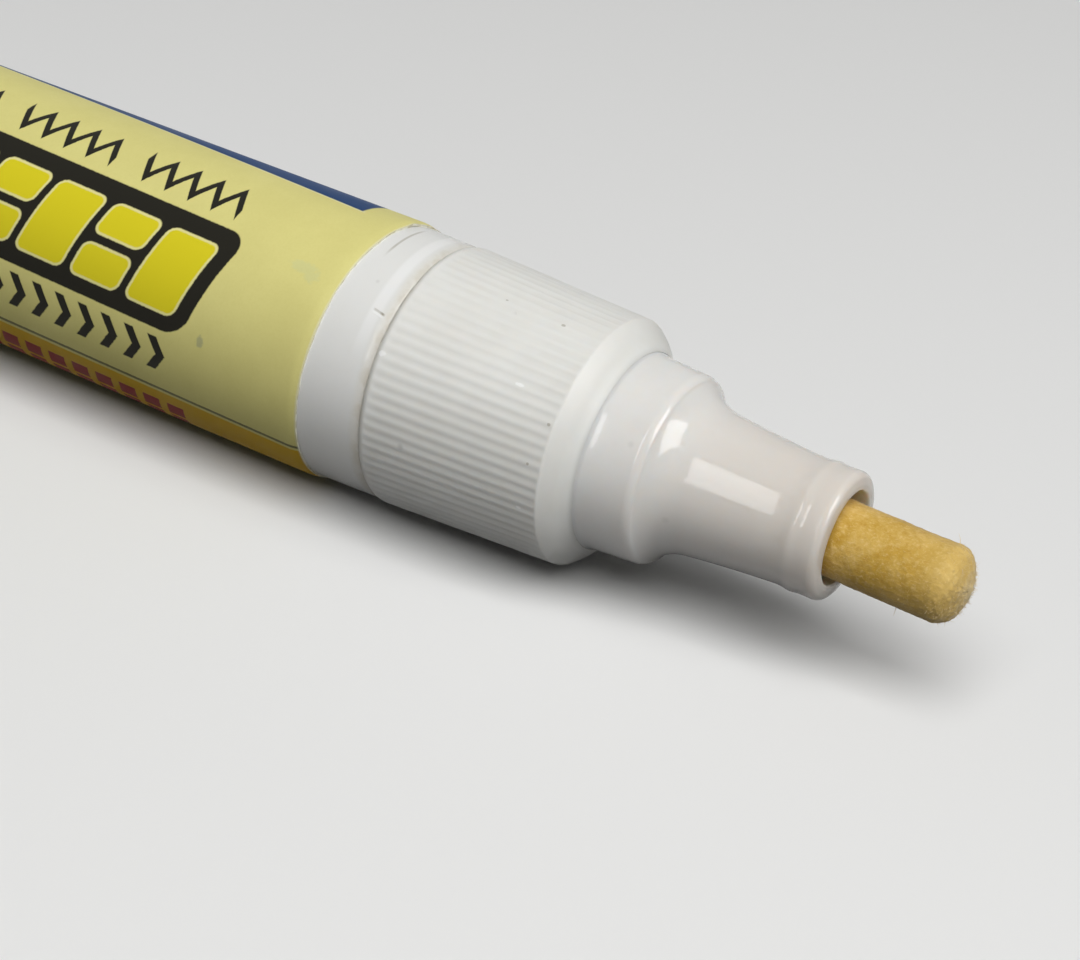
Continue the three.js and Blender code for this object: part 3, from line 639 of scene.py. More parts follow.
def build_spring():
    """Valve spring: a round wire on a helix whose pitch closes up at both ends.

    Centre = (start + rise, R cos a, R sin a), and the wire's circle lies square to the helix.
    """
    rear, front = rear_of("valve_spring"), front_of("valve_spring")
    wire, coil = 0.25, 1.85
    turns, steps, sides = 8.5, 28, 12
    u = np.linspace(0, 1, int(turns * steps) + 1)
    ground = 0.09
    rise = np.interp(u, [0, ground, 1 - ground, 1], [0, 0.05, 0.95, 1])
    x = ZERO_X / MM + rear + wire + (front - rear - 2 * wire) * rise
    a = 2 * math.pi * turns * u
    centre = np.stack([x, -coil * np.sin(a), AXIS_Z / MM + coil * np.cos(a)], 1)
    tangent = unit(np.gradient(centre, axis=0))
    outward = np.stack([np.zeros_like(a), -np.sin(a), np.cos(a)], 1)
    across = np.cross(tangent, outward)
    b = np.linspace(0, 2 * math.pi, sides, endpoint=False)[None, :, None]
    points = centre[:, None] + wire * (outward[:, None] * np.cos(b) + across[:, None] * np.sin(b))
    faces = grid_faces(len(u), sides, False)
    last = (len(u) - 1) * sides
    faces += [list(range(sides))[::-1], list(range(last, last + sides))]
    points = points.reshape(-1, 3) * MM
    spring = mesh_piece("valve_spring_wire", points, faces, "head", 60, "valve_spring")
    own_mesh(spring)
    return spring


def build_ball():
    """Mixing ball: latitude against longitude on a sphere in the node's box."""
    low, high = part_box("mixing_ball")
    centre, radius = (low + high) / 2, (high.x - low.x) / 2
    profile = arc(station_of(centre.x), 0, radius / MM, radius / MM, 180, 0, 32)
    points, faces = turned_surface(profile, 64)
    points = points + np.array([0, 0, centre.z - AXIS_Z])
    return mesh_piece("mixing_ball_steel", points, faces, "mixing_ball", 60, "mixing_ball")


class Wires:
    """Puts nodes in one tree and joins them. Each method gives back the new node's output socket."""

    def __init__(self, tree):
        self.tree = tree

    def feed(self, socket, value):
        """Joins a socket to another one, or sets its value. A colour is given as red, green and blue."""
        if isinstance(value, bpy.types.NodeSocket):
            self.tree.links.new(value, socket)
        elif socket.type == "RGBA":
            socket.default_value = (*value, 1.0)
        else:
            socket.default_value = value

    def put(self, kind, inputs=(), output=0, **settings):
        made = self.tree.nodes.new(kind)
        for key, value in settings.items():
            setattr(made, key, value)
        for key, value in dict(inputs).items():
            self.feed(made.inputs[key], value)
        return made.outputs[output]

    def math(self, operation, *values, clamp=False):
        return self.put("ShaderNodeMath", enumerate(values), operation=operation, use_clamp=clamp)

    def add(self, a, b):
        return self.math("ADD", a, b)

    def less(self, a, b):
        return self.math("SUBTRACT", a, b)

    def times(self, a, b):
        return self.math("MULTIPLY", a, b)

    def either(self, a, b):
        return self.math("MAXIMUM", a, b)

    def without(self, a, b):
        return self.times(a, self.less(1.0, b))

    def ramp(self, value, low, high, to_low=0.0, to_high=1.0):
        """Smooth step of a value from low to high."""
        inputs = {0: value, 1: low, 2: high, 3: to_low, 4: to_high}
        return self.put("ShaderNodeMapRange", inputs, interpolation_type="SMOOTHSTEP", clamp=True)

    def band(self, value, low, high, soft):
        """1 between low and high, with soft edges."""
        rise = self.ramp(value, low - soft, low + soft)
        fall = self.ramp(value, high - soft, high + soft)
        return self.less(rise, fall)

    def mix(self, share, a, b, blend="MIX"):
        inputs = {0: share, 6: a, 7: b}
        return self.put("ShaderNodeMix", inputs, 2, data_type="RGBA", blend_type=blend)

    def noise(self, vector, scale, detail=2.0, roughness=0.5, distortion=0.0):
        inputs = {"Vector": vector, "Scale": scale, "Detail": detail}
        inputs.update({"Roughness": roughness, "Distortion": distortion})
        return self.put("ShaderNodeTexNoise", inputs)

    def group(self, tree, **inputs):
        made = self.tree.nodes.new("ShaderNodeGroup")
        made.node_tree = tree
        for key, value in inputs.items():
            self.feed(made.inputs[key.replace("_", " ")], value)
        return made.outputs

    def bump(self, height, depth, strength):
        """Normal of a bumpy surface whose height of 1 is depth millimetres."""
        inputs = {"Height": height, "Distance": depth * MM, "Strength": strength}
        return self.put("ShaderNodeBump", inputs)

    def at(self):
        """Place on the object, in metres."""
        return self.put("ShaderNodeTexCoord", output=3)

    def places(self):
        """Station in millimetres, turn in degrees and radius in millimetres."""
        return self.group(PLACES)[:3]

    def seen(self):
        """1 for what the camera, a reflection or glass sees, 0 for what light falls on."""
        path = self.tree.nodes.new("ShaderNodeLightPath").outputs
        mirrored = self.either(path["Is Glossy Ray"], path["Is Transmission Ray"])
        return self.either(path["Is Camera Ray"], mirrored)


def new_group(name, inputs, outputs):
    """A node group with float inputs and outputs. Gives its wires, its inputs and its outputs."""
    tree = bpy.data.node_groups.new(name, "ShaderNodeTree")
    for key, start in inputs.items():
        socket = tree.interface.new_socket(name=key, in_out="INPUT", socket_type="NodeSocketFloat")
        socket.default_value = start
    for key in outputs:
        tree.interface.new_socket(name=key, in_out="OUTPUT", socket_type="NodeSocketFloat")
    given = tree.nodes.new("NodeGroupInput").outputs
    result = tree.nodes.new("NodeGroupOutput").inputs
    return Wires(tree), given, result


def make_places_group():
    """Station in millimetres, turn in degrees and radius in millimetres of a point of the marker."""
    w, _, result = new_group("marker_places", {}, ["Station", "Turn", "Radius"])
    split = w.tree.nodes.new("ShaderNodeSeparateXYZ")
    w.feed(split.inputs[0], w.at())
    height = w.less(split.outputs["Z"], AXIS_Z)
    across = w.times(split.outputs["Y"], -1.0)
    square = w.add(w.times(across, across), w.times(height, height))
    w.feed(result["Station"], w.times(w.less(split.outputs["X"], ZERO_X), 1 / MM))
    w.feed(result["Turn"], w.math("DEGREES", w.math("ARCTAN2", across, height)))
    w.feed(result["Radius"], w.times(w.math("SQRT", square), 1 / MM))
    return w.tree


def make_wear_group():
    """Handled plastic: mottling, fine dark specks, and a height with grain and hair scratches."""
    inputs = {"Mottle Size": 3.0, "Speck Size": 0.5, "Speck Share": 0.1, "Scratch Share": 0.4}
    w, given, result = new_group("handled_plastic", inputs, ["Mottle", "Specks", "Height"])
    at = w.at()
    mottle = w.noise(at, w.math("DIVIDE", 1 / MM, given["Mottle Size"]), 4.0, 0.6)
    w.feed(result["Mottle"], w.ramp(mottle, 0.3, 0.7))
    cells = {"Vector": at, "Scale": w.math("DIVIDE", 1 / MM, given["Speck Size"]), "Randomness": 1.0}
    spot = w.put("ShaderNodeTexVoronoi", cells, 0)
    chosen = w.put("ShaderNodeTexVoronoi", cells, 1)
    pick = w.math("LESS_THAN", w.put("ShaderNodeSeparateColor", {0: chosen}), given["Speck Share"])
    w.feed(result["Specks"], w.times(w.ramp(spot, 0.26, 0.06), pick))
    grain = w.noise(at, 2.2 / MM, 3.0, 0.6)
    hairs = []
    for stretch, tilt in (((0.35, 9.0, 9.0), 0.5), ((7.0, 0.8, 7.0), 1.1)):
        placed = {0: at, 2: (tilt, tilt * 0.6, tilt * 0.3), 3: stretch}
        lines = w.noise(w.put("ShaderNodeMapping", placed), 0.5 / MM, 2.0, 0.5)
        hairs.append(w.ramp(w.math("ABSOLUTE", w.less(lines, 0.5)), 0.012, 0.0))
    cut = w.times(w.either(*hairs), given["Scratch Share"])
    w.feed(result["Height"], w.less(w.times(grain, 0.6), cut))
    return w.tree


def make_spot_group():
    """A soft round mark at a station and turn on the surface, with an uneven edge."""
    inputs = {"Station": 0.0, "Turn": 0.0, "Length": 0.3, "Width": 0.3}
    w, given, result = new_group("small_mark", inputs, ["Mark"])
    station, turn, radius = w.places()
    forth = w.math("DIVIDE", w.less(station, given["Station"]), given["Length"])
    swing = w.times(w.less(turn, given["Turn"]), math.radians(1))
    round_it = w.math("DIVIDE", w.times(swing, radius), given["Width"])
    spread = w.math("SQRT", w.add(w.times(forth, forth), w.times(round_it, round_it)))
    uneven = w.times(w.less(w.noise(w.at(), 4.0 / MM), 0.5), 0.9)
    w.feed(result["Mark"], w.ramp(w.add(spread, uneven), 1.0, 0.55))
    return w.tree


def material(name, wire_up, **settings):
    """A material with one Principled BSDF. What is fixed and what wire_up varies go on its sockets."""
    made = bpy.data.materials.new(name)
    made.use_nodes = True
    w = Wires(made.node_tree)
    shader = made.node_tree.nodes["Principled BSDF"]
    for key, value in (settings | wire_up(w)).items():
        w.feed(shader.inputs[key.replace("_", " ")], value)
    return made


def marks(w, spots):
    """All the small marks of a list of (station, turn, length, width) as one mask."""
    mask = None
    for station, turn, length, width in spots:
        mark = w.group(SPOT, Station=station, Turn=turn, Length=length, Width=width)["Mark"]
        mask = mark if mask is None else w.either(mask, mark)
    return mask


def plastic_tint(w, base, deep, specks, grime_and_shade=None, **wear):
    """Wear and colour of handled plastic: mottled from base to deep, with specks, and dirt and painted
    shade by a mask, in one dark colour.
    """
    worn = w.group(WEAR, **wear)
    tint = w.mix(worn["Mottle"], base, deep)
    tint = w.mix(w.times(worn["Specks"], specks), tint, SPECK)
    if grime_and_shade is not None:
        # One dark colour for dirt and for painted shade in creases between parts.
        tint = w.mix(grime_and_shade, tint, DIRT_AND_SHADE)
    return worn, tint


def finish(w, tint, rough, height, depth, strength=0.6):
    """Sockets of a finish whose bumps have this height, and are depth millimetres at a height of 1."""
    return {"Base_Color": tint, "Roughness": rough, "Normal": w.bump(height, depth, strength)}


def wire_white(w):
    """Barrel and tail: glossy white. A beige stain with painted shade in the groove by the collar; a notch
    and a hair on the band; a painted highlight on the band's ridge.

    The notch and its raised burr lean: their turn grows with the station.
    """
    station, turn, _ = w.places()
    patchy = w.ramp(w.noise(w.at(), 0.9 / MM, 3.0), 0.35, 0.65)
    leaning = w.less(turn, w.times(station, 1.4))
    notch = w.times(w.band(station, 2.62, 3.35, 0.1), w.band(leaning, 36.8, 37.8, 0.3))
    burr = w.times(w.band(station, 2.6, 3.3, 0.12), w.band(leaning, 38.1, 39.0, 0.3))
    # Painted highlight: the band's ridge lighter towards the top front, where light falls.
    ridge_highlight = w.times(w.band(station, 2.42, 3.12, 0.14), w.ramp(turn, 70.0, 42.0))
    hair = w.times(w.band(station, 1.05, 1.19, 0.05), w.band(turn, -14.0, 12.0, 5.0))
    stain = w.either(w.times(notch, 0.9), w.times(hair, 0.55))
    worn, tint = plastic_tint(
        w, (0.80, 0.80, 0.775), (0.775, 0.775, 0.745), 0.4, stain,
        Mottle_Size=6.0, Speck_Size=0.9, Speck_Share=0.01, Scratch_Share=0.4,
    )
    # Painted highlight on the band's ridge.
    tint = w.mix(w.times(ridge_highlight, 0.5), tint, (0.93, 0.93, 0.92))
    # Beige stain and painted shade in the groove by the collar, patchy.
    groove_stain_and_shade = w.ramp(station, SHOULDER - 0.75, SHOULDER - 0.15)
    tint = w.mix(w.times(groove_stain_and_shade, w.ramp(patchy, 0.0, 1.0, 0.5, 0.85)), tint, (0.62, 0.585, 0.50))
    tint = w.mix(w.times(burr, 0.6), tint, (0.95, 0.95, 0.94))
    rough = w.ramp(worn["Mottle"], 0.0, 1.0, 0.17, 0.24)
    dent = w.less(w.add(w.times(worn["Height"], 0.15), w.times(burr, 0.5)), notch)
    return finish(w, tint, rough, dent, 0.03)


def wire_collar(w):
    """Collar: the same white, duller, with dirt low between the ribs and a few nicks and specks, a stain
    with painted shade at its rear edge, and painted shade at its lip by the nozzle.
    """
    station, _, radius = w.places()
    slope = (COLLAR_REAR_R - COLLAR_FRONT_R) / (COLLAR_NOSE - COLLAR_REAR)
    top = w.less(COLLAR_REAR_R, w.times(w.less(station, COLLAR_REAR), slope))
    depth = w.less(top, radius)
    patchy = w.ramp(w.noise(w.at(), 0.35 / MM, 3.0), 0.3, 0.75)
    on_side = w.band(station, COLLAR_REAR + 0.5, COLLAR_NOSE - 0.2, 0.2)
    low = w.times(w.ramp(depth, 0.008, RIB_DEPTH), on_side)
    low = w.times(low, w.ramp(patchy, 0.0, 1.0, 0.02, 0.08))
    # Beige stain and painted shade on the rear edge, in the groove by the barrel.
    rear_edge_stain_and_shade = w.ramp(station, COLLAR_REAR + 0.45, COLLAR_REAR)
    rear_edge_stain_and_shade = w.times(rear_edge_stain_and_shade, w.ramp(patchy, 0.0, 1.0, 0.3, 0.6))
    # Painted shade: the lip darkened where it meets the nozzle, as in a crease.
    lip_shade = w.times(w.times(w.ramp(radius, 6.1, 5.8), w.ramp(station, LIP, COLLAR_FRONT)), 0.25)
    nicks = [(12.7, 14.0, 0.15, 0.12), (14.9, 59.0, 0.13, 0.11), (9.0, 13.0, 0.10, 0.08)]
    dark = w.times(marks(w, nicks + [(14.4, 78.0, 0.10, 0.10)]), 0.55)
    # Dirt between the ribs and nicks, with painted shade at the rear edge and at the lip.
    grime_and_shade = w.either(w.either(low, rear_edge_stain_and_shade), w.either(lip_shade, dark))
    worn, tint = plastic_tint(
        w, (0.80, 0.80, 0.765), (0.77, 0.765, 0.725), 0.35, grime_and_shade,
        Mottle_Size=4.0, Speck_Size=1.1, Speck_Share=0.02, Scratch_Share=0.2,
    )
    pale = marks(w, [(4.3, 57.0, 0.26, 0.20), (12.45, 48.0, 0.36, 0.12), (14.2, 100.0, 0.2, 0.1)])
    tint = w.mix(w.times(pale, 0.9), tint, (0.93, 0.93, 0.91))
    return finish(w, tint, w.ramp(worn["Mottle"], 0.0, 1.0, 0.36, 0.46), worn["Height"], 0.005)


def wire_nozzle(w):
    """Nozzle: glossy and pearly, warmer and deeper towards the tip, with painted light that makes its
    mouth pale, painted shade beside the collar, stained inside.
    """
    station, _, radius = w.places()
    ahead = w.less(station, NOZZLE_FRONT)
    warm = w.ramp(ahead, -12.5, -1.0)
    shaded = w.ramp(ahead, -13.5, -2.6)
    in_mouth = w.times(w.ramp(radius, 2.9, 2.74), w.ramp(ahead, -9.0, -1.0))
    soaked = w.times(in_mouth, w.ramp(ahead, -3.0, -4.6))
    # Painted shade: the seat darkened a little next to the collar's front.
    shade_by_collar = w.times(w.ramp(station, COLLAR_FRONT + 0.2, COLLAR_FRONT - 0.1), 0.06)
    worn, tint = plastic_tint(
        w, (0.775, 0.765, 0.74), (0.745, 0.73, 0.70), 0.25, shade_by_collar,
        Mottle_Size=5.0, Speck_Size=1.3, Speck_Share=0.03, Scratch_Share=0.6,
    )
    tint = w.mix(w.times(warm, 0.8), tint, (0.77, 0.71, 0.64))
    tint = w.mix(w.times(shaded, 0.5), tint, (0.62, 0.58, 0.53))
    # Painted light: the mouth made pale, as if lit through its translucent wall.
    tint = w.mix(w.times(in_mouth, 0.9), tint, (0.95, 0.90, 0.82))
    tint = w.mix(w.times(soaked, 0.6), tint, (0.60, 0.42, 0.22))
    return finish(w, tint, w.ramp(worn["Mottle"], 0.0, 1.0, 0.05, 0.09), worn["Height"], 0.0012, 0.5)


def plain_moulding(base, deep, specks, rough, depth, **wear):
    """Wires of a handled plastic without marks of its own: the cap's, and the valve's natural one."""
    def wire_up(w):
        worn, tint = plastic_tint(w, base, deep, specks, **wear)
        return finish(w, tint, w.ramp(worn["Mottle"], 0.0, 1.0, *rough), worn["Height"], depth)

    return wire_up


def wire_rubber(w):
    """Black rubber rings with a dusty bloom."""
    at = w.at()
    bloom = w.ramp(w.noise(at, 1.6 / MM, 4.0, 0.6), 0.35, 0.75)
    tint = w.mix(bloom, (0.022, 0.022, 0.025), (0.055, 0.055, 0.058))
    return finish(w, tint, w.ramp(bloom, 0.0, 1.0, 0.55, 0.8), w.noise(at, 6 / MM), 0.01, 0.5)


def wire_steel(w):
    """Bright drawn steel of the spring and the ball, with faint polishing marks."""
    streaks = w.noise(w.put("ShaderNodeMapping", {0: w.at(), 3: (1.0, 6.0, 6.0)}), 1.5 / MM, 3.0)
    tint = w.mix(w.ramp(streaks, 0.3, 0.7), (0.60, 0.61, 0.62), (0.50, 0.51, 0.53))
    return finish(w, tint, w.ramp(streaks, 0.3, 0.7, 0.14, 0.27), streaks, 0.002, 0.4)


def wire_felt(w):
    """Paint-soaked felt: golden, softly clouded and flecked, paler towards its frayed front edge."""
    at = w.at()
    ahead = w.less(w.places()[0], NIB_FRONT)
    clouds = w.noise(at, 0.6 / MM)
    flecks = w.noise(at, 3.4 / MM, 3.0, 0.65, 0.3)
    drawn = w.put("ShaderNodeMapping", {0: at, 3: (0.5, 1.0, 1.0)})
    fibres = w.noise(drawn, 9.0 / MM, 2.0, 0.7, 0.5)
    frayed = w.ramp(w.add(ahead, w.times(w.less(flecks, 0.5), 0.5)), -0.42, -0.1)
    tint = w.mix(w.ramp(clouds, 0.3, 0.7), (0.54, 0.325, 0.045), (0.665, 0.435, 0.11))
    tint = w.mix(w.ramp(flecks, 0.50, 0.74, 0.0, 0.42), tint, (0.80, 0.60, 0.25))
    tint = w.mix(w.ramp(fibres, 0.5, 0.75, 0.0, 0.3), tint, (0.85, 0.67, 0.34))
    tint = w.mix(w.ramp(flecks, 0.48, 0.27, 0.0, 0.5), tint, (0.46, 0.235, 0.022))
    tint = w.mix(w.ramp(ahead, -4.0, 0.0, 0.0, 0.35), tint, (0.78, 0.60, 0.24))
    tint = w.mix(w.times(frayed, 0.3), tint, (0.90, 0.80, 0.56))
    height = w.add(fibres, w.times(flecks, 0.8))
    return {"Base_Color": tint, "Normal": w.bump(height, 0.03, 0.7)}


def wire_hairs(w):
    """Loose fibres, paler than the felt."""
    return {"Base_Color": w.mix(w.noise(w.at(), 1.2 / MM), (0.67, 0.47, 0.17), (0.86, 0.76, 0.54))}


def rounded_panel(w, across, length, sides, corner, soft):
    """Mask of a rounded rectangle, low to high and rear to front, from the signed distance to its edge."""
    low, high, rear, front = sides
    half_w, half_l = (high - low) / 2, (front - rear) / 2
    q = [
        w.add(w.math("ABSOLUTE", w.less(across, (low + high) / 2)), corner - half_w),
        w.add(w.math("ABSOLUTE", w.less(length, (rear + front) / 2)), corner - half_l),
    ]
    beyond = [w.either(v, 0.0) for v in q]
    outside = w.math("SQRT", w.add(w.times(beyond[0], beyond[0]), w.times(beyond[1], beyond[1])))
    inside = w.math("MINIMUM", w.either(q[0], q[1]), 0.0)
    distance = w.less(w.add(outside, inside), corner)
    return w.ramp(distance, soft, -soft)


def print_tiles(w, across, length, soft):
    """A black panel with one slanted row of tiles: whole ones take turns with pairs of half ones.

    Gives the masks of the panel, of the tiles and of their darker middles.
    """
    low, high = 5.9, 10.9
    middle = (low + high) / 2
    cell, joint, rim = 4.1, 0.5, 0.16
    front, rear = -7.85, -61.15
    below, above, beyond = 1.15, 0.95, 0.75
    slanted = w.add(length, w.times(w.less(across, middle), 0.25))
    sides = (low - below, high + above, rear - beyond, front + beyond)
    panel = rounded_panel(w, across, slanted, sides, 1.4, soft)
    in_pair = w.math("WRAP", w.less(slanted, front), 2 * cell, 0.0)
    whole = (low, high, cell + joint / 2, 2 * cell - joint / 2)
    lower = (low, middle - joint / 2, joint / 2, cell - joint / 2)
    upper = (middle + joint / 2, high, joint / 2, cell - joint / 2)
    masks = []
    for inset in (0.0, rim):
        mask = None
        for bottom, top, back, end in (whole, lower, upper):
            sides = (bottom + inset, top - inset, back + inset, end - inset)
            tile = rounded_panel(w, across, in_pair, sides, 0.6 - inset, soft)
            mask = tile if mask is None else w.either(mask, tile)
        masks.append(w.times(mask, w.band(slanted, rear, front, 0.02)))
    return panel, masks[0], masks[1]


def print_lines(w, across, length, soft):
    """Rows of generic dark strokes: a grouped zigzag, chevrons, a rule, and rules over the back."""
    pitch, group, rest = 1.7, 9.35, 1.7
    in_group = w.math("WRAP", w.add(length, 7.95), group, 0.0)
    wave = w.math("PINGPONG", w.less(in_group, rest), pitch / 2)
    centre = w.add(w.times(wave, 1.75 / (pitch / 2)), 1.98)
    zigzag = w.ramp(w.math("ABSOLUTE", w.less(across, centre)), 0.50, 0.36)
    zigzag = w.times(zigzag, w.band(in_group, rest, group, soft))
    zigzag = w.times(zigzag, w.band(length, -54.0, -7.9, soft))

    pointed = w.add(length, w.times(w.math("ABSOLUTE", w.less(across, 13.45)), 0.62))
    chevrons = w.band(w.math("WRAP", w.add(pointed, 8.8), pitch, 0.0), pitch - 0.72, pitch - 0.06, soft)
    chevrons = w.times(chevrons, w.band(across, 12.35, 14.55, soft))
    chevrons = w.times(chevrons, w.band(pointed, -51.3, -8.7, soft))

    rule = w.times(w.band(across, 15.98, 16.2, 0.04), 0.8)
    back = w.band(w.math("WRAP", across, 1.5, 0.0), 0.5, 0.72, 0.04)
    back = w.times(w.times(back, w.band(across, 24.2, 32.2, 0.04)), w.band(length, -62.0, -14.0, soft))
    return w.either(w.either(zigzag, chevrons), w.either(rule, back))


def print_stripe(w, across, length, soft):
    """An orange stripe with two rows of slanted red blocks. Gives both masks."""
    stripe = w.band(across, 16.4, 21.6, soft)
    pitch, block, start = 1.75, 1.2, -4.3
    slanted = w.add(length, w.times(across, 0.22))
    forth = w.math("WRAP", w.less(slanted, start), pitch, 0.0)
    rows = w.either(w.band(across, 17.4, 18.85, soft), w.band(across, 19.2, 20.6, soft))
    blocks = w.times(w.band(forth, pitch - block, pitch, soft), rows)
    return stripe, w.times(blocks, w.band(slanted, start - 30 * pitch, start, soft))


def print_blue(w, station, around, soft):
    """A blue stripe over the back, 9 mm wide, that turns away from the front with the station behind it.

    Gives its mask and that of the pale line along its edge.
    """
    width, front, turning = 9.0, -2.4, 0.08
    over = w.less(around, w.add(w.times(w.less(station, front), turning), -0.93))
    blue = w.times(w.ramp(over, soft, -soft), w.ramp(over, -width - soft, -width + soft))
    blue = w.times(blue, w.band(station, -LABEL_LENGTH - 8, front - 0.05, 0.08))
    pale = w.times(w.band(over, -0.10, 0.12, 0.08), w.band(station, -LABEL_LENGTH - 8, front + 0.1, 0.1))
    return blue, pale


def wire_label(w):
    """Printed film. Across runs round the barrel and length along it, both in millimetres and skewed.

    Khaki ground; a black panel with a row of yellow tiles; rows of plain dark strokes; an orange
    stripe with red blocks; a blue stripe over the back; a few smudges and a pale front edge.
    """
    station, turn, _ = w.places()
    at = w.at()
    skew_cos, skew_sin = math.cos(LABEL_SKEW), math.sin(LABEL_SKEW)
    around = w.times(turn, math.radians(LABEL_R))
    across = w.less(w.times(around, skew_cos), w.times(station, skew_sin))
    length = w.add(w.times(station, skew_cos), w.times(around, skew_sin))
    bleed = w.times(w.less(w.noise(at, 5 / MM), 0.5), 0.06)
    across = w.add(across, bleed)
    length = w.add(length, bleed)
    soft = 0.05

    clouds = w.noise(at, 0.25 / MM, 4.0, 0.6)
    ink = w.mix(w.ramp(clouds, 0.3, 0.7), (0.745, 0.69, 0.262), (0.71, 0.655, 0.245))
    paper = w.noise(at, 7 / MM, 2.0, 0.6)
    ink = w.mix(w.ramp(paper, 0.35, 0.75, 0.0, 0.12), ink, (0.62, 0.55, 0.16))

    black = (0.013, 0.012, 0.008)
    panel, tiles, middles = print_tiles(w, across, length, soft)
    stripe, blocks = print_stripe(w, across, length, soft)
    blue, pale = print_blue(w, station, around, soft)
    smudge = marks(w, [(-2.4, 36.0, 1.1, 0.45), (-1.7, 38.5, 0.6, 0.5)])
    scuff = marks(w, [(-7.0, 80.5, 0.27, 0.46)])
    front_edge = w.ramp(length, LABEL_FRONT - 0.16, LABEL_FRONT - 0.02)
    layers = [
        (panel, black),
        (tiles, (0.80, 0.75, 0.32)),
        (middles, (0.74, 0.64, 0.02)),
        (print_lines(w, across, length, soft), black),
        (stripe, (0.66, 0.40, 0.008)),
        (blocks, (0.20, 0.006, 0.003)),
        (w.times(pale, 0.5), (0.86, 0.83, 0.62)),
        (blue, (0.004, 0.036, 0.125)),
        (w.times(smudge, 0.16), (0.42, 0.56, 0.42)),
        (w.times(scuff, 0.5), (0.27, 0.30, 0.22)),
        (w.times(front_edge, 0.5), (0.84, 0.82, 0.66)),
    ]
    for mask, tint in layers:
        ink = w.mix(mask, ink, tint)
    height = w.add(w.times(paper, 0.5), w.times(clouds, 0.5))
    return finish(w, ink, w.ramp(clouds, 0.3, 0.7, 0.46, 0.54), height, 0.012, 0.5)


def wire_paper_edge(w):
    """The film's cut edge: bare whitish core with a little grime."""
    grimy = w.ramp(w.noise(w.at(), 2 / MM), 0.4, 0.7)
    return {"Base_Color": w.mix(grimy, (0.82, 0.80, 0.68), (0.60, 0.56, 0.40))}


def wire_floor(w):
    """Floor: pale where it is seen and dark where light falls on it, and even and pale far out."""
    seen = w.seen()
    away = w.put("ShaderNodeVectorMath", {0: w.at()}, 1, operation="LENGTH")
    far = w.times(seen, w.ramp(away, 0.11, 0.42))
    near = w.mix(seen, (0.12, 0.12, 0.12), (0.84, 0.84, 0.83))
    return {
        "Base_Color": w.mix(far, near, UNLIT),
        "Emission_Color": w.mix(far, UNLIT, (0.76, 0.76, 0.75)),
    }


def dress(piece, *finishes):
    for made in finishes:
        piece.data.materials.append(made)


def milky(share, red_to_blue, depth):
    """Settings of a plastic that light enters by about depth millimetres."""
    return {"Subsurface_Weight": share, "Subsurface_Radius": red_to_blue, "Subsurface_Scale": depth * MM}


SPECK = (0.24, 0.22, 0.19)
# Dark colour of dirt, also used as painted shade in creases between parts
DIRT_AND_SHADE = (0.30, 0.27, 0.20)
UNLIT = (0.0, 0.0, 0.0)
PLACES = make_places_group()
WEAR = make_wear_group()
SPOT = make_spot_group()

waxy = milky(0.12, (1.0, 0.85, 0.7), 0.6)
ribby = milky(0.35, (1.0, 0.85, 0.7), 0.5)
pearly = milky(0.6, (1.0, 0.8, 0.65), 1.2)
white = material("white_moulding", wire_white, IOR=1.48, **waxy)
ribbed = material("ribbed_moulding", wire_collar, IOR=1.48, **ribby)
pearl = material("pearly_moulding", wire_nozzle, IOR=1.5, **pearly)
handled_cap = plain_moulding(
    (0.80, 0.80, 0.775), (0.765, 0.765, 0.735), 0.4, (0.28, 0.40), 0.005,
    Mottle_Size=7.0, Speck_Size=1.2, Speck_Share=0.06, Scratch_Share=0.8,
)
unpigmented = plain_moulding(
    (0.72, 0.72, 0.68), (0.66, 0.66, 0.61), 0.2, (0.38, 0.5), 0.004,
    Mottle_Size=2.5, Speck_Size=1.0, Speck_Share=0.03, Scratch_Share=0.3,
)
capped = material("cap_moulding", handled_cap, IOR=1.48, **waxy)
natural = material("milky_plastic", unpigmented, IOR=1.48, **pearly)
rubber = material("black_rubber", wire_rubber)
steel = material("bright_steel", wire_steel, Metallic=1.0)
felt = material("soaked_felt", wire_felt, Roughness=0.95, Sheen_Weight=0.42, Sheen_Roughness=0.35)
hairs = material("loose_fibres", wire_hairs, Roughness=0.8)
printed = material("printed_film", wire_label, IOR=1.46, Specular_IOR_Level=0.13)
film_core = material("film_core", wire_paper_edge, Roughness=0.8)

dress(build_barrel(), white)
build_label()
dress(build_collar(), ribbed)
dress(build_nozzle(), pearl)
dress(build_nib(), felt)
dress(build_fibres(), hairs)
dress(build_tail_plug(), white)
dress(build_cap(), capped)
dress(build_cap_liner(), natural)
build_valve()
dress(build_spring(), steel)
dress(build_ball(), steel)
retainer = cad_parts["spring_retainer"]
retainer.data.materials.clear()
dress(retainer, natural)


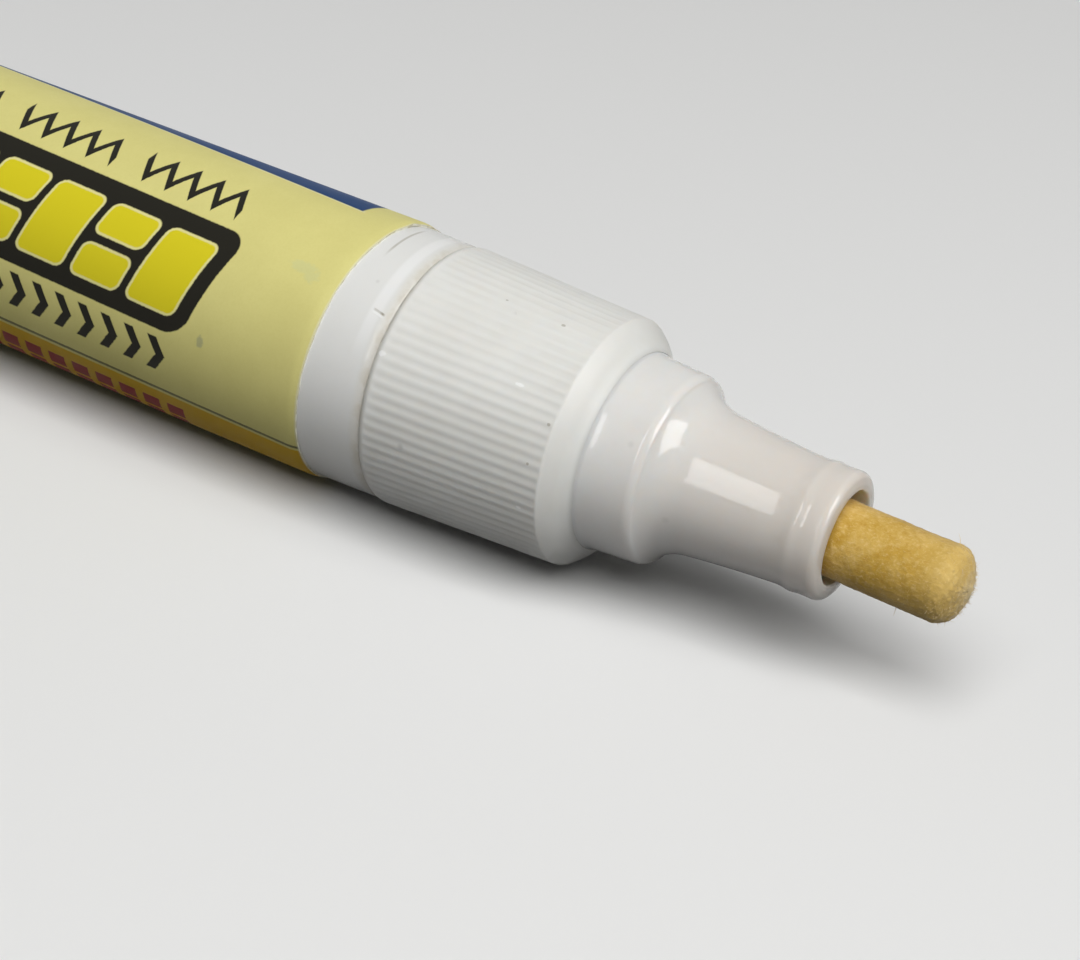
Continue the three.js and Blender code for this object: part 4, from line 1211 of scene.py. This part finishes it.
def make_camera():
    """Camera of the photograph's view, aimed at the axis and rolled a little."""
    aim = Vector((0.05198, -0.00183, 0.00528))
    distance = 0.15747
    azimuth, elevation, roll = (math.radians(v) for v in (27.79, 30.77, 7.07))
    back = Vector((math.sin(azimuth), -math.cos(azimuth), math.tan(elevation))).normalized()
    data = bpy.data.cameras.new("camera")
    data.sensor_width = 36
    data.lens = 93.671
    data.clip_start = 0.01
    camera = bpy.data.objects.new("camera", data)
    bpy.context.scene.collection.objects.link(camera)
    camera.rotation_mode = "QUATERNION"
    rolled = Matrix.Rotation(roll, 4, "Z").to_quaternion()
    camera.rotation_quaternion = back.to_track_quat("Z", "Y") @ rolled
    camera.location = aim + back * distance
    bpy.context.scene.camera = camera


def make_lamp(name, direction, distance, size, power, lights=True, mirrored=True):
    """A rectangular lamp that looks at the middle of the marker's front half.

    size is its length as near to the marker's axis as may be, and its length across that. lights and
    mirrored say whether it throws light, and whether glossy surfaces show it.
    """
    aim = Vector((0.045, 0, AXIS_Z))
    data = bpy.data.lights.new(name, "AREA")
    data.shape = "RECTANGLE"
    data.size, data.size_y = size
    data.energy = power
    lamp = bpy.data.objects.new(name, data)
    bpy.context.scene.collection.objects.link(lamp)
    back = Vector(direction).normalized()
    side = (Vector((1, 0, 0)) - back * back.x).normalized()
    lamp.location = aim + back * distance
    lamp.rotation_mode = "QUATERNION"
    lamp.rotation_quaternion = Matrix((side, back.cross(side), back)).transposed().to_quaternion()
    lamp.visible_diffuse = lights
    lamp.visible_glossy = mirrored


def make_stage():
    """A wide floor, and a world that is pale where it is seen and throws little light."""
    bpy.ops.mesh.primitive_plane_add(size=6.0)
    floor = bpy.context.object
    floor.name = "floor"
    matt = {"Roughness": 0.9, "Specular_IOR_Level": 0.1, "Emission_Strength": 1.0}
    dress(floor, material("pale_floor", wire_floor, **matt))
    world = bpy.data.worlds.new("studio")
    bpy.context.scene.world = world
    world.use_nodes = True
    w = Wires(world.node_tree)
    back = world.node_tree.nodes["Background"]
    w.feed(back.inputs["Color"], w.mix(w.seen(), (0.05, 0.05, 0.05), (0.80, 0.80, 0.79)))
    back.inputs["Strength"].default_value = 1.0


FROM_FRONT = (0.734, -0.053, 0.677)

make_camera()
make_stage()
make_lamp("key_softbox", (0.22, -0.41, 0.885), 0.60, (0.50, 0.50), 3.2, mirrored=False)
make_lamp("strip_light", (-0.122, -0.735, 0.667), 0.50, (0.07, 0.35), 0.30, lights=False)
make_lamp("side_light", FROM_FRONT, 0.61, (0.28, 0.28), 1.0, mirrored=False)
make_lamp("window_light", FROM_FRONT, 0.57, (0.37, 0.37), 2.3, lights=False)
bpy.context.scene.view_settings.view_transform = "Standard"
